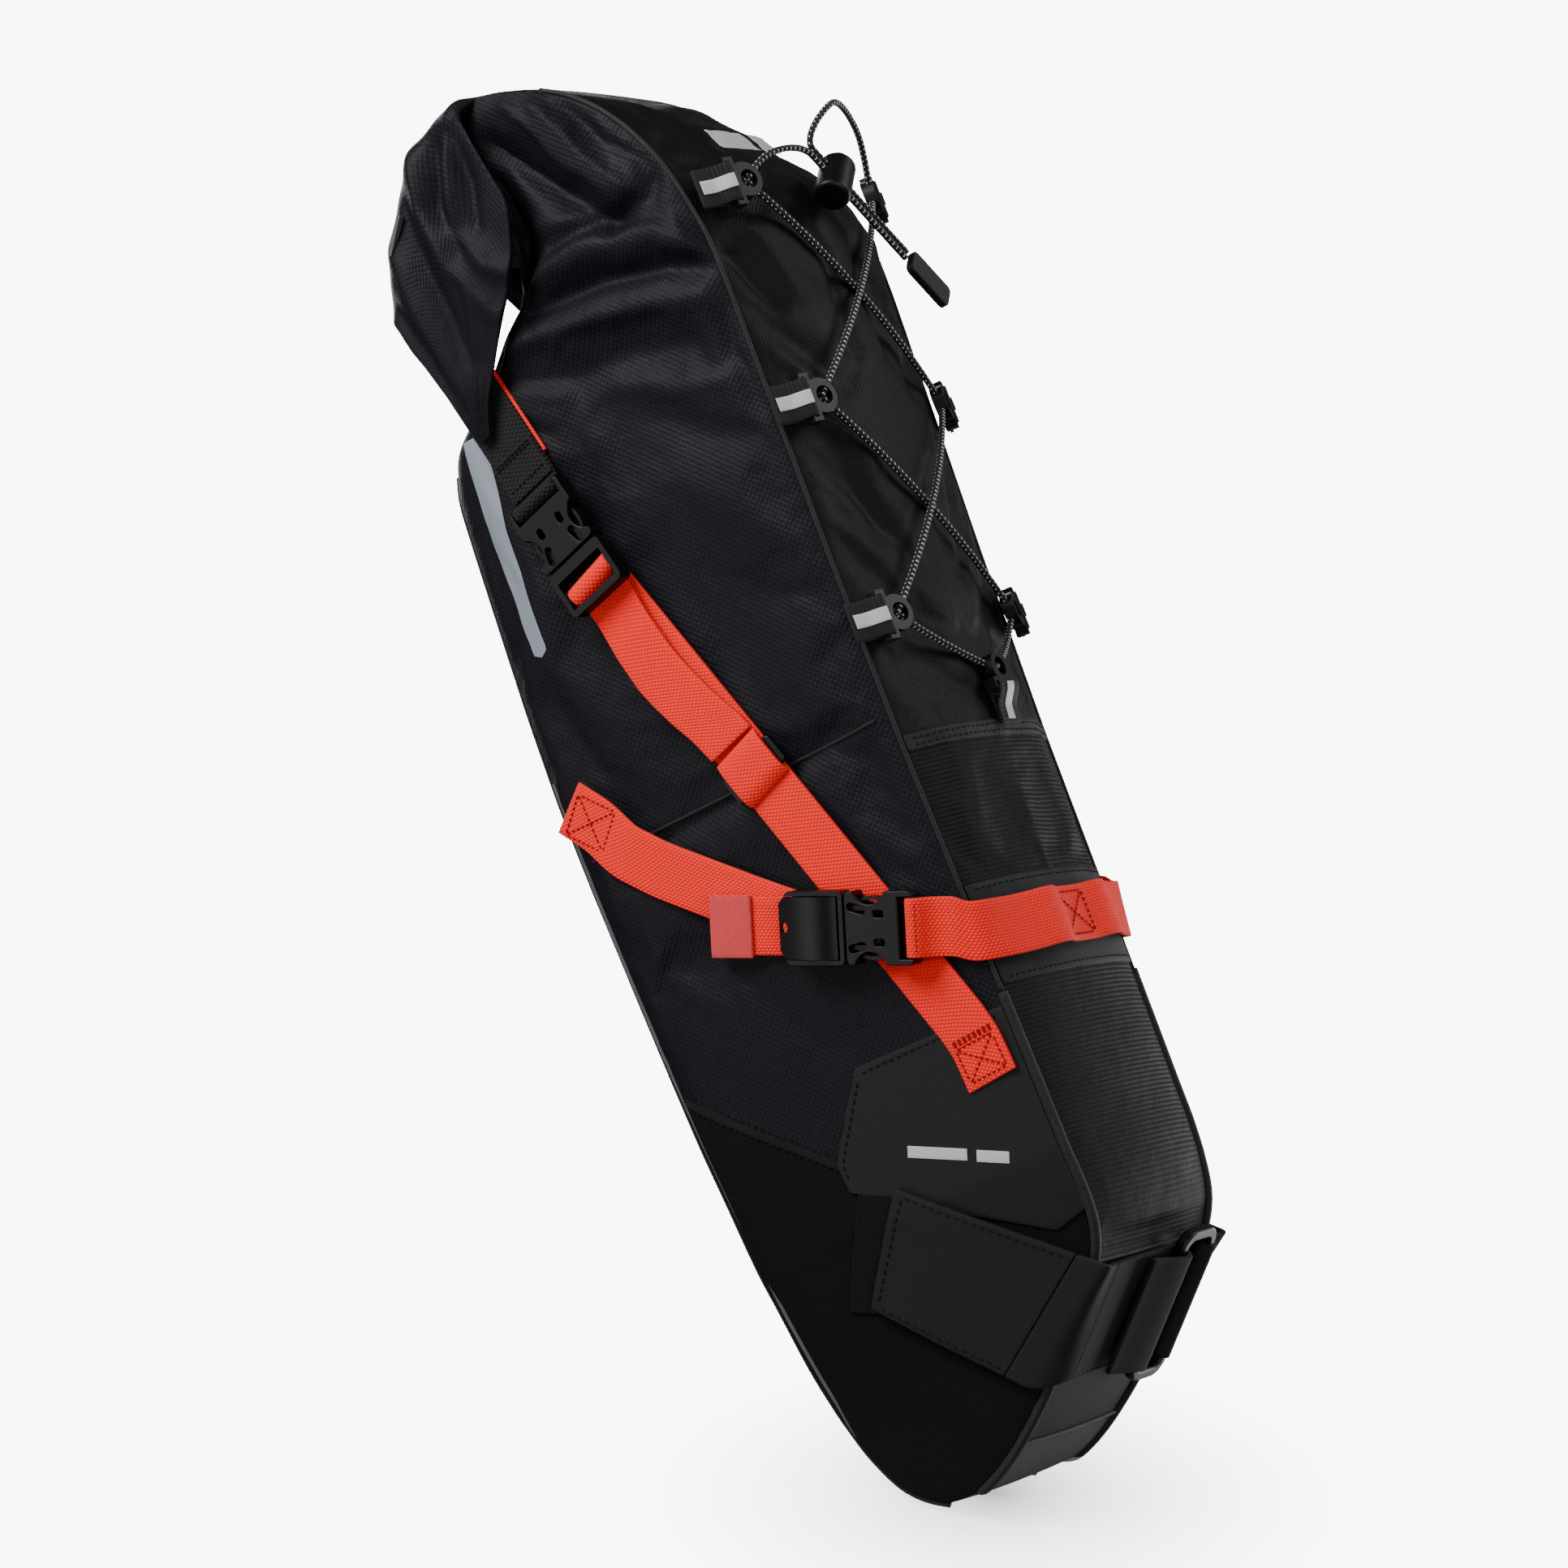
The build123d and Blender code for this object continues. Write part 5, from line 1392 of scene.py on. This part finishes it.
light("key", (-0.85, 0.85, 0.6), 1500, 0.8, 40)
light("rim", (0.95, 0.8, 0.0), 1500, 0.7, 12)
light("fill", (0.4, 0.1, 1.0), 1900, 1.4, 24)
light("low", (-0.9, -0.3, 0.35), 1500, 0.9, 8)
light("back", (-0.35, 0.3, -1.0), 1700, 1.2, 34)
light("far_side", (0.9, -0.2, -0.6), 1700, 1.2, 22)

world = bpy.data.worlds.new("studio")
bpy.context.scene.world = world
world.use_nodes = True
tree = world.node_tree
background = tree.nodes["Background"]
path_info = tree.nodes.new("ShaderNodeLightPath")
seen = tree.nodes.new("ShaderNodeBackground")
mixer = tree.nodes.new("ShaderNodeMixShader")
background.inputs[0].default_value = (0.93, 0.94, 0.96, 1)
background.inputs[1].default_value = 0.10
seen.inputs[0].default_value = (0.985, 0.985, 1.0, 1)
seen.inputs[1].default_value = 9.0
tree.links.new(path_info.outputs["Is Camera Ray"], mixer.inputs[0])
tree.links.new(background.outputs[0], mixer.inputs[1])
tree.links.new(seen.outputs[0], mixer.inputs[2])
tree.links.new(mixer.outputs[0], tree.nodes["World Output"].inputs[0])


def floor_with_painted_shadow():
    """Small grey disc under the nose, a painted contact shadow: darker than the bright backdrop at its middle,
    it fades out at its rim and is clear from behind; the lamps also cast the bag's real shadow on it.
    """
    mesh = bpy.data.meshes.new("floor_with_painted_shadow")
    corners, radius = 64, 0.2
    angles = [2 * math.pi * k / corners for k in range(corners)]
    points = [(0, 0, 0)] + [(radius * math.cos(a), radius * math.sin(a), 0) for a in angles]
    mesh.from_pydata(points, [], [(0, k + 1, (k + 1) % corners + 1) for k in range(corners)])
    disc = bpy.data.objects.new("floor_with_painted_shadow", mesh)
    bpy.context.scene.collection.objects.link(disc)
    up = unit(UP + 0.28 * BACK)
    right = unit(np.cross(BACK, up)) * -1
    low = np.array([-10, 88, -52]) - up * 2.0
    aim(disc, low, right, np.cross(up, right), up)
    s = Shader("floor_painted_shadow")
    grain = s.noise(0.6)
    # painted shade: a mid grey far darker than the backdrop, so the visible part of the disc reads as the
    # contact shadow
    s.finish(s.mix(grain, (0.55, 0.55, 0.57), (0.60, 0.60, 0.62)), 0.9, s.bump(grain, 0.05, 0.3))
    reach = s.vector("LENGTH", s.node("ShaderNodeTexCoord").outputs["Object"]).outputs["Value"]
    fade = s.math("SUBTRACT", 1.0, s.math("DIVIDE", reach, 0.15), True)
    seen_from_above = s.math("SUBTRACT", 1.0, s.node("ShaderNodeNewGeometry").outputs["Backfacing"])
    # painted shadow strength: full at the middle under the nose, fading to none at the rim and none from
    # behind
    painted_shadow_strength = s.math("POWER", fade, 0.9) * 0.93 * seen_from_above
    mixed = s.node("ShaderNodeMixShader")
    clear = s.node("ShaderNodeBsdfTransparent").outputs[0]
    for slot, source in zip(mixed.inputs, (painted_shadow_strength, clear, s.bsdf.outputs[0])):
        s.feed(slot, source)
    s.feed(s.output.inputs[0], mixed.outputs[0])
    mesh.materials.append(s.material)


floor_with_painted_shadow()
